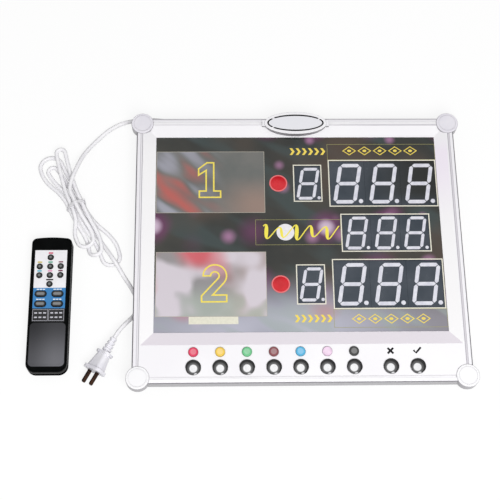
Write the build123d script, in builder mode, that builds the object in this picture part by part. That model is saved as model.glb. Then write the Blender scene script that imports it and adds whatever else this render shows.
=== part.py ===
from build123d import *
from math import ceil, cos, pi, radians, sin, sqrt, tan
import os

os.makedirs("parts", exist_ok=True)

# Electronic scoreboard, lying on its back: +Z looks out of the display, +Y is its top edge.
# The origin is the middle of the back face that hangs on the wall. Sizes in millimetres.

# Seven-segment modules, 57 mm digits and 46 mm digits, which set the size of the display
score_module_w = 47.6
score_module_h = 69.8
small_module_w = 38.25
small_module_h = 56.0
modules_in_row = 3

# Windows over the modules: each edge laps over them
score_lap_x = 0.8
score_lap_y = 2.5
break_lap_x = 0.175
break_lap_y = 2.7
single_lap_x = 1.625
single_lap_y = 2.4
score_window_w = modules_in_row * score_module_w - 2 * score_lap_x
score_window_h = score_module_h - 2 * score_lap_y
break_window_w = modules_in_row * small_module_w - 2 * break_lap_x
break_window_h = small_module_h - 2 * break_lap_y
single_window_w = small_module_w - 2 * single_lap_x
single_window_h = small_module_h - 2 * single_lap_y

# Opening of the display, from its left edge to its right one, and from its top down
name_zone_w = 149.9      # printed area left of the lenses
lens_r = 11.9
lens_gap = 9.5
window_gap = 11.7
right_margin = 1.9
label_margin = 34.8      # above the upper window
row_gap = 12.85
foot_margin = 31.8       # below the lower window
opening_w = name_zone_w + 2 * lens_r + lens_gap + single_window_w + window_gap + score_window_w + right_margin
opening_h = label_margin + 2 * score_window_h + break_window_h + 2 * row_gap + foot_margin

# Case
side_border = 26.0       # from the opening to the case's outer edge
top_border = 26.0
foot_border = 66.5       # with the key strip
case_w = opening_w + 2 * side_border
case_h = opening_h + top_border + foot_border
hump_d = 10.0            # raised box on the back
tray_d = 7.0             # shallow tray between the box and the rails
rail_d = 16.0            # rails, back to front
wall_t = 1.8             # moulded walls
snug = 0.1               # clearance between pieces that stay put
fit = 0.3                # clearance round pieces that move
over = 5.0               # overrun of every cut

half_w = case_w / 2
half_h = case_h / 2
rail_z = hump_d + tray_d
front_z = rail_z + rail_d
tray_floor_z = hump_d + wall_t
corner_signs = [(-1, -1), (1, -1), (1, 1), (-1, 1)]

# Frame rails: open channels with a ledge for the bezel
lip_w = 5.3              # front lip, as seen from the front
groove_w = 3.2           # shadow gap between lip and bezel
foot_w = 8.0             # back flange
rail_wall_t = 1.8
ledge_t = 1.6
ledge_drop = 3.4         # ledge below the front of the lip
rail_edge_r = 2.4

# Front bezel
bezel_t = 2.2
bezel_rim_t = 1.6
bezel_land = 1.5         # flat border before the slope
panel_drop = 6.0         # panel below the front of the bezel
lip_t = 1.0              # bezel edge that holds the panel
strip_slope_w = 17.5     # slope above the key strip

opening_y = (foot_border - top_border) / 2
bezel_u = lip_w + groove_w
ledge_w = bezel_u + bezel_rim_t
ledge_z = front_z - ledge_drop
panel_z = front_z - panel_drop
land_u = bezel_u + bezel_land
funnel_bottom = opening_y - opening_h / 2 - strip_slope_w
funnel_top = half_h - land_u
funnel_w = case_w - 2 * land_u
funnel_h = funnel_top - funnel_bottom
funnel_y = (funnel_top + funnel_bottom) / 2
slope_run = half_w - land_u - opening_w / 2
slope_rise = panel_drop - lip_t
slope_drop = bezel_t * sqrt(slope_run**2 + slope_rise**2) / slope_run

# Corner caps
cap_r = 14.8
cap_inset = 7.5          # cap centre from the outer edges
cap_z = rail_z + 4.0
cap_proud = 1.0
cap_edge_r = 1.5
cap_ring_r = 11.4
cap_ring_w = 0.8
cap_ring_d = 0.6
tongue_reach = 26.0      # from the cap's centre along each rail
cap_places = [(sx * (half_w - cap_inset), sy * (half_h - cap_inset)) for sx, sy in corner_signs]
cap_top = front_z + cap_proud

# Back cover
hump_inset = 50.0        # box on the back, from the outer edges
hump_corner_r = 6.0
tray_corner_r = 8.0
back_edge = 1.0
rim_t = 1.8
rim_u = 3.5              # rim edge from the outer edges
hump_w = case_w - 2 * hump_inset
hump_h = case_h - 2 * hump_inset
tray_w = case_w - 2 * bezel_u
tray_h = case_h - 2 * bezel_u
keyhole_pitch = 120.0
keyhole_down = 47.5      # from the hump's top edge
keyhole_y = hump_h / 2 - keyhole_down
keyhole_r = 4.6          # the screw head goes in here
keyslot_w = 4.6
keyslot_len = 9.0
vent_w = 2.5
vent_len = 28.0
vent_pitch = 7.0
vent_count = 8
vent_side = 52.5         # from the hump's left edge
vent_up = 62.5           # from its lower edge
vent_x = vent_side - hump_w / 2
vent_y = vent_up - hump_h / 2

# Case screws
screw_r = 1.5
screw_head_r = 2.7
screw_head_h = 1.6
screw_len = 4.2
screw_side = 82.5
screw_end = 92.5
screw_pitch_x = half_w - screw_side
screw_pitch_y = case_h - 2 * screw_end
screw_u = (rim_u + foot_w) / 2
screw_places = [(kx * screw_pitch_x, sy * (half_h - screw_u)) for kx in (-1, 0, 1) for sy in (-1, 1)]
screw_places += [(sx * (half_w - screw_u), sy * screw_pitch_y / 2) for sx in (-1, 1) for sy in (-1, 1)]

# Display panel with its windows
panel_t = 1.5
panel_lap = 4.0          # hidden under the bezel's edge
wide_x = opening_w / 2 - right_margin - score_window_w / 2
single_x = wide_x - score_window_w / 2 - window_gap - single_window_w / 2
lens_x = single_x - single_window_w / 2 - lens_gap - lens_r
row_pitch = (score_window_h + break_window_h) / 2 + row_gap
break_y = opening_y + opening_h / 2 - label_margin - score_window_h / 2 - row_pitch
score_ys = [break_y + row_pitch, break_y - row_pitch]
panel_back_z = panel_z - panel_t

# Modules and their digits
module_d = 12.0
module_gap = 0.2
score_digit_w = 31.0
score_digit_h = 57.5
score_digit_inset = 4.1  # foot of the digit from the module's left edge
score_stroke = 5.0
small_digit_w = 24.8
small_digit_h = 46.0
small_digit_inset = 3.3
small_stroke = 4.0
segment_gap = 0.7        # dark line between two segments
segment_t = 0.4
slant = 10.0
score_dot_r = 2.9
score_dot_x = 17.6       # from the module's centre
score_dot_up = 3.4       # above the foot of the digit
small_dot_r = 2.2
small_dot_x = 14.7
small_dot_up = 2.6
module_z = panel_back_z - snug - module_d
module_front = module_z + module_d
score_module_places = [(wide_x + k * score_module_w, y) for y in score_ys for k in (-1, 0, 1)]
small_module_places = [(wide_x + k * small_module_w, break_y) for k in (-1, 0, 1)]
small_module_places += [(single_x, y) for y in score_ys]

# Indicator lenses
lens_dome_r = 10.3
lens_flange_r = 13.6
lens_flange_t = 1.1
lens_rim_up = 0.4
lens_dome_up = 1.2
lens_wall_t = 1.6

# Circuit boards
board_t = 1.6
board_margin = 3.0
board_left = lens_x - lens_flange_r - board_margin
board_right = wide_x + modules_in_row * score_module_w / 2 + board_margin
display_board_w = board_right - board_left
display_board_h = 2 * row_pitch + score_module_h + 2 * board_margin
display_board_x = (board_left + board_right) / 2
display_board_y = break_y
display_board_z = module_z - board_t
standoff_r = 4.0
standoff_inset = 8.0

# Keys and their colour dots
key_from_foot = 20.2
first_key_side = 76.3    # from the case's left edge
last_key_side = 69.1     # from its right edge
end_key_pitch = 33.5
key_y = key_from_foot - half_h
key_x0 = first_key_side - half_w
confirm_x = half_w - last_key_side
cancel_x = confirm_x - end_key_pitch
key_group_gap = 45.7     # from the black key to the cancel key
key_r = 9.65
key_up = 4.0             # dome above the bezel
key_dome = 2.8
key_travel = 1.0
key_flange_r = 10.7
key_flange_t = 1.0
key_stem_r = 3.0
dot_above_key = 19.5
dot_y = key_y + dot_above_key
dot_r = 6.4
dot_up = 2.2
dot_edge_r = 1.6
switch_w = 12.0
switch_h = 4.3
switch_well_d = 2.9
well_slack = 0.2
key_board_z = rail_z + 3.0
key_board_end = 14.0     # past the end keys
key_board_w = confirm_x - key_x0 + 2 * key_board_end
key_board_h = 20.0
key_board_x = (key_x0 + confirm_x) / 2
post_r = 3.0
post_count = 6
colour_names = ["red", "yellow", "green", "brown", "blue", "pink", "black"]
key_pitch = (cancel_x - key_group_gap - key_x0) / (len(colour_names) - 1)
colour_xs = [key_x0 + k * key_pitch for k in range(len(colour_names))]
key_table = list(zip([name + "_key" for name in colour_names], colour_xs))
key_table += [("cancel_key", cancel_x), ("confirm_key", confirm_x)]
post_xs = [key_x0 + (k + 1 / 2) * key_pitch for k in range(post_count)] + [(cancel_x + confirm_x) / 2]
switch_z = key_board_z + board_t
switch_top = switch_z + switch_h
key_stem_z = switch_top - switch_well_d + key_travel + well_slack
bezel_under_z = front_z - bezel_t

# Oval badge on the top edge
badge_w = 84.0
badge_h = 33.0
badge_tab_w = 89.5
badge_tab_h = 9.0
badge_down = 8.3         # from the case's top edge
badge_y = half_h - badge_down
badge_up = 3.0
badge_skirt_z = 27.0
badge_edge_r = 0.8
badge_ring_w = 75.0
badge_ring_h = 23.7
badge_ring_t = 1.0
badge_ring_d = 0.5

# Mains transformer
core_w = 48.0
core_h = 40.0
core_d = 16.0
coil_w = 30.0
coil_h = 30.0
coil_d = 21.0
coil_r = 2.5
strap_t = 1.2
strap_w = 64.0
strap_h = 16.0
strap_hole_r = 1.8
strap_hole_pitch = 57.0
coil_up = 0.3            # coil above the strap
transformer_x = vent_x
transformer_above_vent = 85.0
transformer_y = vent_y + transformer_above_vent

# Cord and its gland
cord_d = 5.5
cord_r = cord_d / 2
gland_side = 12.5        # from the hump's left edge
gland_x = gland_side - hump_w / 2
gland_z = hump_d / 2
gland_neck_r = 3.1
gland_neck_in = 1.2
gland_flange_r = 4.7
gland_flange_t = 2.0
relief_len = 20.0
relief_r0 = 4.5
relief_r1 = 3.5
relief_groove = 0.9
relief_ribs = 5

# Hank: the cord lies in long loops, drawn in at a waist
waist_beside = 80.0      # from the case's left edge
waist_down = 116.0       # from its top edge
waist_x = -half_w - waist_beside
waist_y = half_h - waist_down
waist_lean = 25.0
waist_half = 4.0         # half of the straight stretch under the tie
low_z = cord_r           # loops lying on the table
high_z = cord_r + 6.35   # loops lying across them
waist_low = cord_r + 1.6
waist_step = 6.1
waist_mid = waist_low + waist_step
waist_top = waist_mid + waist_step
lead_side = 0.5          # where the lead comes into the waist
tail_side = 3.1          # where the tail leaves it
# Each loop: 1 above the waist or -1 below it, its reach from the waist, its lean in degrees,
# the lean of its bend, half its width, place and height at the waist where the cord comes in,
# height at the bend's start, middle and end, place and height where the cord goes back.
loops = [
    (-1, 61.0, 16.0, 20.0, 11.0, lead_side, waist_top, high_z, high_z, high_z, -5.5, waist_mid),
    (1, 90.0, 17.0, 13.0, 6.0, -5.5, waist_mid, high_z, high_z, high_z, 8.5, waist_mid),
    (-1, 76.0, 24.0, 10.0, 8.5, 8.5, waist_mid, high_z, high_z, low_z, -9.4, waist_low),
    (1, 82.0, 32.0, 24.0, 15.0, -9.4, waist_low, low_z, low_z, low_z, 9.4, waist_low),
    (-1, 97.0, 34.0, 19.0, 12.0, 9.4, waist_low, low_z, low_z, low_z, -3.1, waist_low),
    (1, 67.0, 33.0, 34.0, 6.8, -3.1, waist_low, low_z, low_z, low_z, tail_side, waist_low),
]
waist_places = [(-9.4, waist_low), (-3.1, waist_low), (3.1, waist_low), (9.4, waist_low)]
waist_places += [(-5.5, waist_mid), (8.5, waist_mid), (lead_side, waist_top)]
gap_step = 0.8           # spacing of the points that measure the hank's gap to itself
tie_w = 3.4
tie_t = 1.0
tie_tail_len = 14.0
tie_tail_w = 2.6

# Plug, lying on the table
plug_beside = 24.5       # where the cord goes into its relief
plug_down = 301.0
plug_x = -half_w - plug_beside
plug_y = half_h - plug_down
plug_z = 13.4
plug_dir = Vector(-0.487, -0.873, 0).normalized()
plug_roll = 28.6
plug_relief_len = 20.8
plug_relief_r0 = 4.5
plug_relief_r1 = 6.0
plug_ribs = 4
plug_groove = 1.1
plug_rear_w = 22.0
plug_rear_h = 16.0
plug_rear_t = 3.2
plug_grip_len = 20.5
plug_grip_w0 = 17.0
plug_grip_h0 = 12.0
plug_grip_w1 = 24.0
plug_grip_h1 = 16.5
plug_front_w = 28.0
plug_front_h = 20.0
plug_front_t = 4.0
plug_corner_r = 6.0
plug_edge_r = 1.0
blade_pitch = 12.7
blade_w = 6.3
blade_t = 1.5
blade_len = 17.9
blade_tip_r = 2.2

# Remote control, lying beside the board
remote_beside = 107.5
remote_down = 167.0
remote_x = -half_w - remote_beside
remote_w = 51.8
remote_top_y = half_h - remote_down
remote_crown = 2.2       # top end bowed out
remote_d = 20.0
remote_split = 9.5       # height where the two shells meet
remote_top_r = 7.0
remote_bottom_r = 12.0
remote_edge_r = 3.5
remote_back_edge_r = 2.0
remote_wall_t = 1.8
remote_face_t = 2.2
face_w = 41.0
face_h = 96.7
face_down = 16.8         # from the remote's top end
face_top_y = remote_top_y - face_down
face_t = 0.8
face_proud = 0.2
remote_key_r = 3.85
remote_key_up = 1.6
remote_key_edge_r = 1.0
bar_key_w = 15.0
bar_key_h = 8.5
remote_travel = 0.8
remote_flange = 1.0      # flange round each rubber key
remote_flange_t = 0.7
mat_t = 1.2
mat_gap = 1.0            # between key and mat
remote_board_t = 1.6
remote_board_w = 44.0
remote_board_over = 7.3  # above the faceplate's top edge
remote_board_short = 2.0 # above its lower edge
remote_board_top_y = face_top_y + remote_board_over
remote_board_h = face_h + remote_board_over - remote_board_short
battery_r = 5.25
battery_len = 44.5
battery_gap = 0.5
battery_down = 7.75      # from the faceplate's lower edge
battery_up = 12.75       # from the remote's lower end
remote_len = face_down + face_h + battery_down + battery_len + battery_up
nub_r = 1.9
nub_len = 1.0
contact_t = 0.5
contact_h = 9.0
door_w = 38.0
door_t = 1.5
door_tongue = 1.0
window_w = 20.0
window_h = 6.0
window_d = 3.0
remote_post_r = 3.0
grip_w = 45.0            # shallow field below the faceplate
grip_gap = 1.2
grip_end = 9.0           # from the lower end
grip_r = 9.0
grip_d = 0.4
# Keys of the remote, from the middle of the faceplate's top edge
round_key_table = [
    ("remote_red_key", -0.4, -9.8),
    ("remote_yellow_key", -13.9, -22.3),
    ("remote_green_key", -0.4, -22.3),
    ("remote_brown_key", 12.9, -22.0),
    ("remote_blue_key", -13.9, -34.3),
    ("remote_pink_key", -0.4, -34.2),
    ("remote_black_key", 12.9, -34.0),
    ("remote_break_key", -0.4, -46.2),
]
bar_key_table = [
    ("remote_up_key", -10.9, -59.4),
    ("remote_down_key", 10.4, -59.4),
    ("remote_cancel_key", -10.9, -72.8),
    ("remote_enter_key", 10.4, -72.8),
]
round_keys = [(name, remote_x + x, face_top_y + y) for name, x, y in round_key_table]
bar_keys = [(name, remote_x + x, face_top_y + y) for name, x, y in bar_key_table]
remote_face_z = remote_d - remote_face_t
mat_z = remote_face_z - remote_flange_t - snug - mat_gap - mat_t
remote_board_z = mat_z - remote_board_t
remote_board_y = remote_board_top_y - remote_board_h / 2
remote_bottom_y = remote_top_y - remote_len
remote_end_y = remote_top_y + remote_crown
face_y = face_top_y - face_h / 2
door_top_y = face_top_y - face_h
battery_y = door_top_y - battery_down - battery_len / 2
grip_top_y = door_top_y - grip_gap
grip_h = grip_top_y - remote_bottom_y - grip_end
battery_z = door_t + snug + battery_r


# Frame rails, mitred at the corners and cut round where the caps sit
rail_table = [
    ("top_rail", (1, 1), Vector(0, -1), Vector(-1, 0), case_w),
    ("left_rail", (-1, 1), Vector(1, 0), Vector(0, -1), case_h),
    ("bottom_rail", (-1, -1), Vector(0, 1), Vector(1, 0), case_w),
    ("right_rail", (1, -1), Vector(-1, 0), Vector(0, 1), case_h),
]
for name, signs, inward, run, length in rail_table:
    corner = Vector(signs[0] * half_w, signs[1] * half_h)
    mitre = ledge_w + over
    with BuildPart() as rail:
        with BuildSketch(Plane(origin=corner, x_dir=inward, z_dir=run)) as section:
            with BuildLine():
                Polyline(
                    (0, rail_z),
                    (foot_w, rail_z),
                    (foot_w, rail_z + rail_wall_t),
                    (rail_wall_t, rail_z + rail_wall_t),
                    (rail_wall_t, ledge_z - ledge_t),
                    (ledge_w, ledge_z - ledge_t),
                    (ledge_w, ledge_z),
                    (lip_w, ledge_z),
                    (lip_w, front_z),
                    (0, front_z),
                    close=True,
                )
            make_face()
            outer_corner = section.vertices().group_by(Axis.Y)[-1].sort_by(Axis.X)[0]
            fillet(outer_corner, radius=rail_edge_r)
        extrude(amount=length)
        with BuildSketch(Plane.XY.offset(rail_z)):
            with BuildLine():
                Polyline(
                    corner,
                    corner + run * length,
                    corner + run * (length - mitre) + inward * mitre,
                    corner + run * mitre + inward * mitre,
                    close=True,
                )
            make_face()
        extrude(amount=rail_d, mode=Mode.INTERSECT)
        with BuildSketch(Plane.XY.offset(cap_z - snug)):
            with Locations(*cap_places):
                Circle(cap_r + snug)
        extrude(amount=rail_d, mode=Mode.SUBTRACT)
        with BuildSketch(Plane.XY.offset(rail_z)):
            with Locations(*screw_places):
                Circle(screw_r)
        extrude(amount=rail_wall_t, mode=Mode.SUBTRACT)
    rail.part.label = name
    export_step(rail.part, f"parts/{name}.step")

# Corner caps: round discs whose tongues slide into the hollow rails
tongue_w = foot_w - rail_wall_t - 2 * fit
tongue_u = (foot_w + rail_wall_t) / 2
tongue_z = rail_z + rail_wall_t + fit
with BuildPart() as corner_caps:
    with BuildSketch(Plane.XY.offset(cap_z)):
        with Locations(*cap_places):
            Circle(cap_r)
    extrude(amount=cap_top - cap_z)
    fillet(corner_caps.edges().group_by(Axis.Z)[-1], radius=cap_edge_r)
    with BuildSketch(Plane.XY.offset(cap_top)):
        with Locations(*cap_places):
            Circle(cap_ring_r + cap_ring_w / 2)
            Circle(cap_ring_r - cap_ring_w / 2, mode=Mode.SUBTRACT)
    extrude(amount=-cap_ring_d, mode=Mode.SUBTRACT)
    with BuildSketch(Plane.XY.offset(tongue_z)):
        for sx, sy in corner_signs:
            with Locations((sx * (half_w - cap_inset - tongue_reach / 2), sy * (half_h - tongue_u))):
                Rectangle(tongue_reach, tongue_w)
            with Locations((sx * (half_w - tongue_u), sy * (half_h - cap_inset - tongue_reach / 2))):
                Rectangle(tongue_w, tongue_reach)
    extrude(amount=ledge_z - ledge_t - fit - tongue_z)
corner_caps.part.label = "corner_caps"
export_step(corner_caps.part, "parts/corner_caps.step")

# Space between the sloped sides of the bezel
with BuildPart() as front_funnel:
    with BuildSketch(Plane.XY.offset(panel_z + lip_t)):
        with Locations((0, opening_y)):
            Rectangle(opening_w, opening_h)
    with BuildSketch(Plane.XY.offset(front_z)):
        with Locations((0, funnel_y)):
            Rectangle(funnel_w, funnel_h)
    loft(ruled=True)

# Hollow behind the bezel's slopes and key strip
with BuildPart() as bezel_hollow:
    with BuildSketch(Plane.XY.offset(panel_z)):
        Rectangle(case_w - 2 * ledge_w, case_h - 2 * ledge_w)
    extrude(amount=bezel_under_z - panel_z)
    add(front_funnel.part.moved(Location((0, 0, -slope_drop))), mode=Mode.SUBTRACT)
    with BuildSketch(Plane.XY.offset(front_z - slope_drop)):
        with Locations((0, funnel_y)):
            Rectangle(funnel_w, funnel_h)
    extrude(amount=slope_drop, mode=Mode.SUBTRACT)

# Front bezel: a thin moulding, with posts under the key strip that carry the key board
with BuildPart() as front_bezel:
    with BuildSketch(Plane.XY.offset(panel_z)):
        Rectangle(case_w - 2 * bezel_u, case_h - 2 * bezel_u)
    extrude(amount=panel_drop)
    add(front_funnel.part, mode=Mode.SUBTRACT)
    with BuildSketch(Plane.XY.offset(panel_z)):
        with Locations((0, opening_y)):
            Rectangle(opening_w, opening_h)
    extrude(amount=lip_t, mode=Mode.SUBTRACT)
    add(bezel_hollow.part, mode=Mode.SUBTRACT)
    with BuildSketch(Plane.XY.offset(ledge_z)):
        Rectangle(case_w - 2 * bezel_u, case_h - 2 * bezel_u)
        Rectangle(case_w - 2 * ledge_w, case_h - 2 * ledge_w, mode=Mode.SUBTRACT)
    extrude(amount=panel_z - ledge_z, mode=Mode.SUBTRACT)
    with BuildSketch(Plane.XY.offset(panel_z)):
        with Locations(*[(x, key_y) for name, x in key_table]):
            Circle(key_r + fit)
        with Locations(*cap_places):
            Circle(cap_r + snug)
    extrude(amount=panel_drop + over, mode=Mode.SUBTRACT)
    with BuildSketch(Plane.XY.offset(switch_z)):
        with Locations(*[(x, key_y) for x in post_xs]):
            Circle(post_r)
    extrude(amount=bezel_under_z - switch_z)
front_bezel.part.label = "front_bezel"
export_step(front_bezel.part, "parts/front_bezel.step")

# Display panel: a printed sheet under the bezel's edge, with its windows and lamp holes
with BuildPart() as display_panel:
    with BuildSketch(Plane.XY.offset(panel_back_z)):
        with Locations((0, opening_y)):
            Rectangle(opening_w + 2 * panel_lap, opening_h + 2 * panel_lap)
        with Locations(*[(wide_x, y) for y in score_ys]):
            Rectangle(score_window_w, score_window_h, mode=Mode.SUBTRACT)
        with Locations((wide_x, break_y)):
            Rectangle(break_window_w, break_window_h, mode=Mode.SUBTRACT)
        with Locations(*[(single_x, y) for y in score_ys]):
            Rectangle(single_window_w, single_window_h, mode=Mode.SUBTRACT)
        with Locations(*[(lens_x, y) for y in score_ys]):
            Circle(lens_r + snug, mode=Mode.SUBTRACT)
    extrude(amount=panel_t)
display_panel.part.label = "display_panel"
export_step(display_panel.part, "parts/display_panel.step")

# Indicator lenses: hollow red caps that stand on the board and come up through the panel
lens_flange_z = panel_back_z - snug - lens_flange_t
lens_top = panel_z + lens_dome_up
with BuildPart() as indicator_lenses:
    with BuildSketch(Plane.XZ):
        with BuildLine():
            Polyline(
                (lens_r - lens_wall_t, module_z),
                (lens_r, module_z),
                (lens_r, lens_flange_z),
                (lens_flange_r, lens_flange_z),
                (lens_flange_r, lens_flange_z + lens_flange_t),
                (lens_r, lens_flange_z + lens_flange_t),
                (lens_r, panel_z + lens_rim_up),
                (lens_dome_r, panel_z + lens_rim_up),
            )
            TangentArc((0, lens_top), (lens_dome_r, panel_z + lens_rim_up), tangent=(1, 0))
            Polyline(
                (0, lens_top),
                (0, lens_flange_z),
                (lens_r - lens_wall_t, lens_flange_z),
                (lens_r - lens_wall_t, module_z),
            )
        make_face()
    revolve(axis=Axis.Z)
    lens = indicator_lenses.part.moved(Location((lens_x, score_ys[0], 0)))
    other_lens = indicator_lenses.part.moved(Location((lens_x, score_ys[1], 0)))
indicator_lenses.part = Compound(children=[lens, other_lens])
indicator_lenses.part.label = "indicator_lenses"
export_step(indicator_lenses.part, "parts/indicator_lenses.step")

# Digit modules: dark blocks, close side by side
with BuildPart() as score_digits:
    with BuildSketch(Plane.XY.offset(module_z)):
        with Locations(*score_module_places):
            Rectangle(score_module_w - module_gap, score_module_h - module_gap)
    extrude(amount=module_d)
score_digits.part.label = "score_digits"
export_step(score_digits.part, "parts/score_digits.step")

with BuildPart() as small_digits:
    with BuildSketch(Plane.XY.offset(module_z)):
        with Locations(*small_module_places):
            Rectangle(small_module_w - module_gap, small_module_h - module_gap)
    extrude(amount=module_d)
small_digits.part.label = "small_digits"
export_step(small_digits.part, "parts/small_digits.step")


def segment_outlines(width, height, stroke):
    """Seven pointed bars of a slanted digit whose foot starts at zero, each as six points.

    A bar's points lie half a stroke out from its middle line, and the bars stop short of
    each other by the gap; the whole digit leans over by the slant.
    """
    lean = tan(radians(slant))
    half = stroke / 2
    left = half
    right = width - half
    levels = [half, height / 2, height - half]
    bars = []
    for y in levels:
        x0 = left + segment_gap
        x1 = right - segment_gap
        bars.append(
            [(x0, y), (x0 + half, y + half), (x1 - half, y + half),
             (x1, y), (x1 - half, y - half), (x0 + half, y - half)]
        )
    for x in (left, right):
        for low, high in zip(levels[:-1], levels[1:]):
            y0 = low + segment_gap
            y1 = high - segment_gap
            bars.append(
                [(x, y0), (x + half, y0 + half), (x + half, y1 - half),
                 (x, y1), (x - half, y1 - half), (x - half, y0 + half)]
            )
    return [[(x + y * lean, y) for x, y in bar] for bar in bars]


# Light segments and points, each its own pale bar on the module's face
with BuildPart() as score_segments:
    with BuildSketch(Plane.XY.offset(module_front)):
        for x, y in score_module_places:
            foot_x = x - score_module_w / 2 + score_digit_inset
            foot_y = y - score_digit_h / 2
            for bar in segment_outlines(score_digit_w, score_digit_h, score_stroke):
                with BuildLine():
                    Polyline(*[(foot_x + px, foot_y + py) for px, py in bar], close=True)
                make_face()
            with Locations((x + score_dot_x, foot_y + score_dot_up)):
                Circle(score_dot_r)
    extrude(amount=segment_t)
score_segments.part.label = "score_segments"
export_step(score_segments.part, "parts/score_segments.step")

with BuildPart() as small_segments:
    with BuildSketch(Plane.XY.offset(module_front)):
        for x, y in small_module_places:
            foot_x = x - small_module_w / 2 + small_digit_inset
            foot_y = y - small_digit_h / 2
            for bar in segment_outlines(small_digit_w, small_digit_h, small_stroke):
                with BuildLine():
                    Polyline(*[(foot_x + px, foot_y + py) for px, py in bar], close=True)
                make_face()
            with Locations((x + small_dot_x, foot_y + small_dot_up)):
                Circle(small_dot_r)
    extrude(amount=segment_t)
small_segments.part.label = "small_segments"
export_step(small_segments.part, "parts/small_segments.step")

# Display board behind the modules
standoff_places = [
    (display_board_x + sx * (display_board_w / 2 - standoff_inset),
     display_board_y + sy * (display_board_h / 2 - standoff_inset))
    for sx, sy in corner_signs if sx < 0
]
standoff_places += [
    (display_board_x, display_board_y + sy * (display_board_h / 2 - standoff_inset))
    for sy in (-1, 1)
]
with BuildPart() as display_board:
    with BuildSketch(Plane.XY.offset(display_board_z)):
        with Locations((display_board_x, display_board_y)):
            Rectangle(display_board_w, display_board_h)
        with Locations(*standoff_places):
            Circle(screw_r, mode=Mode.SUBTRACT)
    extrude(amount=board_t)
display_board.part.label = "display_board"
export_step(display_board.part, "parts/display_board.step")

# Key board on the bezel's posts
with BuildPart() as key_board:
    with BuildSketch(Plane.XY.offset(key_board_z)):
        with Locations((key_board_x, key_y)):
            Rectangle(key_board_w, key_board_h)
        with Locations(*[(x, key_y) for x in post_xs]):
            Circle(screw_r, mode=Mode.SUBTRACT)
    extrude(amount=board_t)
key_board.part.label = "key_board"
export_step(key_board.part, "parts/key_board.step")

# Key switches with the wells that take the key stems
with BuildPart() as key_switches:
    with BuildSketch(Plane.XY.offset(switch_z)):
        with Locations(*[(x, key_y) for name, x in key_table]):
            Rectangle(switch_w, switch_w)
    extrude(amount=switch_h)
    with BuildSketch(Plane.XY.offset(switch_top)):
        with Locations(*[(x, key_y) for name, x in key_table]):
            Circle(key_stem_r + fit)
    extrude(amount=-switch_well_d, mode=Mode.SUBTRACT)
key_switches.part.label = "key_switches"
export_step(key_switches.part, "parts/key_switches.step")

# Domed keys, held in by a flange under the bezel
key_top = front_z + key_up
key_flange_top = bezel_under_z - fit
for name, x in key_table:
    with BuildPart() as key:
        with BuildSketch(Plane.XZ):
            with BuildLine():
                TangentArc((0, key_top), (key_r, key_top - key_dome), tangent=(1, 0))
                Polyline(
                    (key_r, key_top - key_dome),
                    (key_r, key_flange_top),
                    (key_flange_r, key_flange_top),
                    (key_flange_r, key_flange_top - key_flange_t),
                    (key_stem_r, key_flange_top - key_flange_t),
                    (key_stem_r, key_stem_z),
                    (0, key_stem_z),
                    (0, key_top),
                )
            make_face()
        revolve(axis=Axis.Z)
        with BuildSketch(Plane.XY.offset(key_flange_top)):
            with Locations((0, -key_r - key_flange_r / 2)):
                Rectangle(2 * key_flange_r, key_flange_r)
        extrude(amount=-key_flange_t, mode=Mode.SUBTRACT)
    placed_key = key.part.moved(Location((x, key_y, 0)))
    placed_key.label = name
    export_step(placed_key, f"parts/{name}.step")

# Colour dots above the keys
with BuildPart() as colour_dots:
    with BuildSketch(Plane.XY.offset(front_z)):
        with Locations(*[(x, dot_y) for x in colour_xs]):
            Circle(dot_r)
    extrude(amount=dot_up)
    fillet(colour_dots.edges().group_by(Axis.Z)[-1], radius=dot_edge_r)
colour_dots.part.label = "colour_dots"
export_step(colour_dots.part, "parts/colour_dots.step")

# Oval badge, bedded on the slope and the rail and hooked over the top edge
slope_foot_y = opening_y + opening_h / 2
with BuildPart() as oval_badge:
    with BuildSketch(Plane.XY.offset(badge_skirt_z)):
        with Locations((0, badge_y)):
            Ellipse(badge_w / 2, badge_h / 2)
    extrude(amount=front_z + badge_up - badge_skirt_z)
    fillet(oval_badge.edges().group_by(Axis.Z)[-1], radius=badge_edge_r)
    with BuildSketch(Plane.XY.offset(badge_skirt_z)):
        with Locations((0, badge_y)):
            Rectangle(badge_tab_w, badge_tab_h)
    extrude(amount=front_z + badge_up - badge_edge_r - badge_skirt_z)
    with BuildSketch(Plane.YZ.offset(-badge_tab_w / 2)):
        with BuildLine():
            Polyline(
                (slope_foot_y, badge_skirt_z - over),
                (slope_foot_y, panel_z + lip_t),
                (funnel_top, front_z),
                (half_h + snug, front_z),
                (half_h + snug, badge_skirt_z - over),
                close=True,
            )
        make_face()
    extrude(amount=badge_tab_w, mode=Mode.SUBTRACT)
    with BuildSketch(Plane.XY.offset(front_z + badge_up)):
        with Locations((0, badge_y)):
            Ellipse(badge_ring_w / 2, badge_ring_h / 2)
            Ellipse(badge_ring_w / 2 - badge_ring_t, badge_ring_h / 2 - badge_ring_t, mode=Mode.SUBTRACT)
    extrude(amount=-badge_ring_d, mode=Mode.SUBTRACT)
oval_badge.part.label = "oval_badge"
export_step(oval_badge.part, "parts/oval_badge.step")

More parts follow.
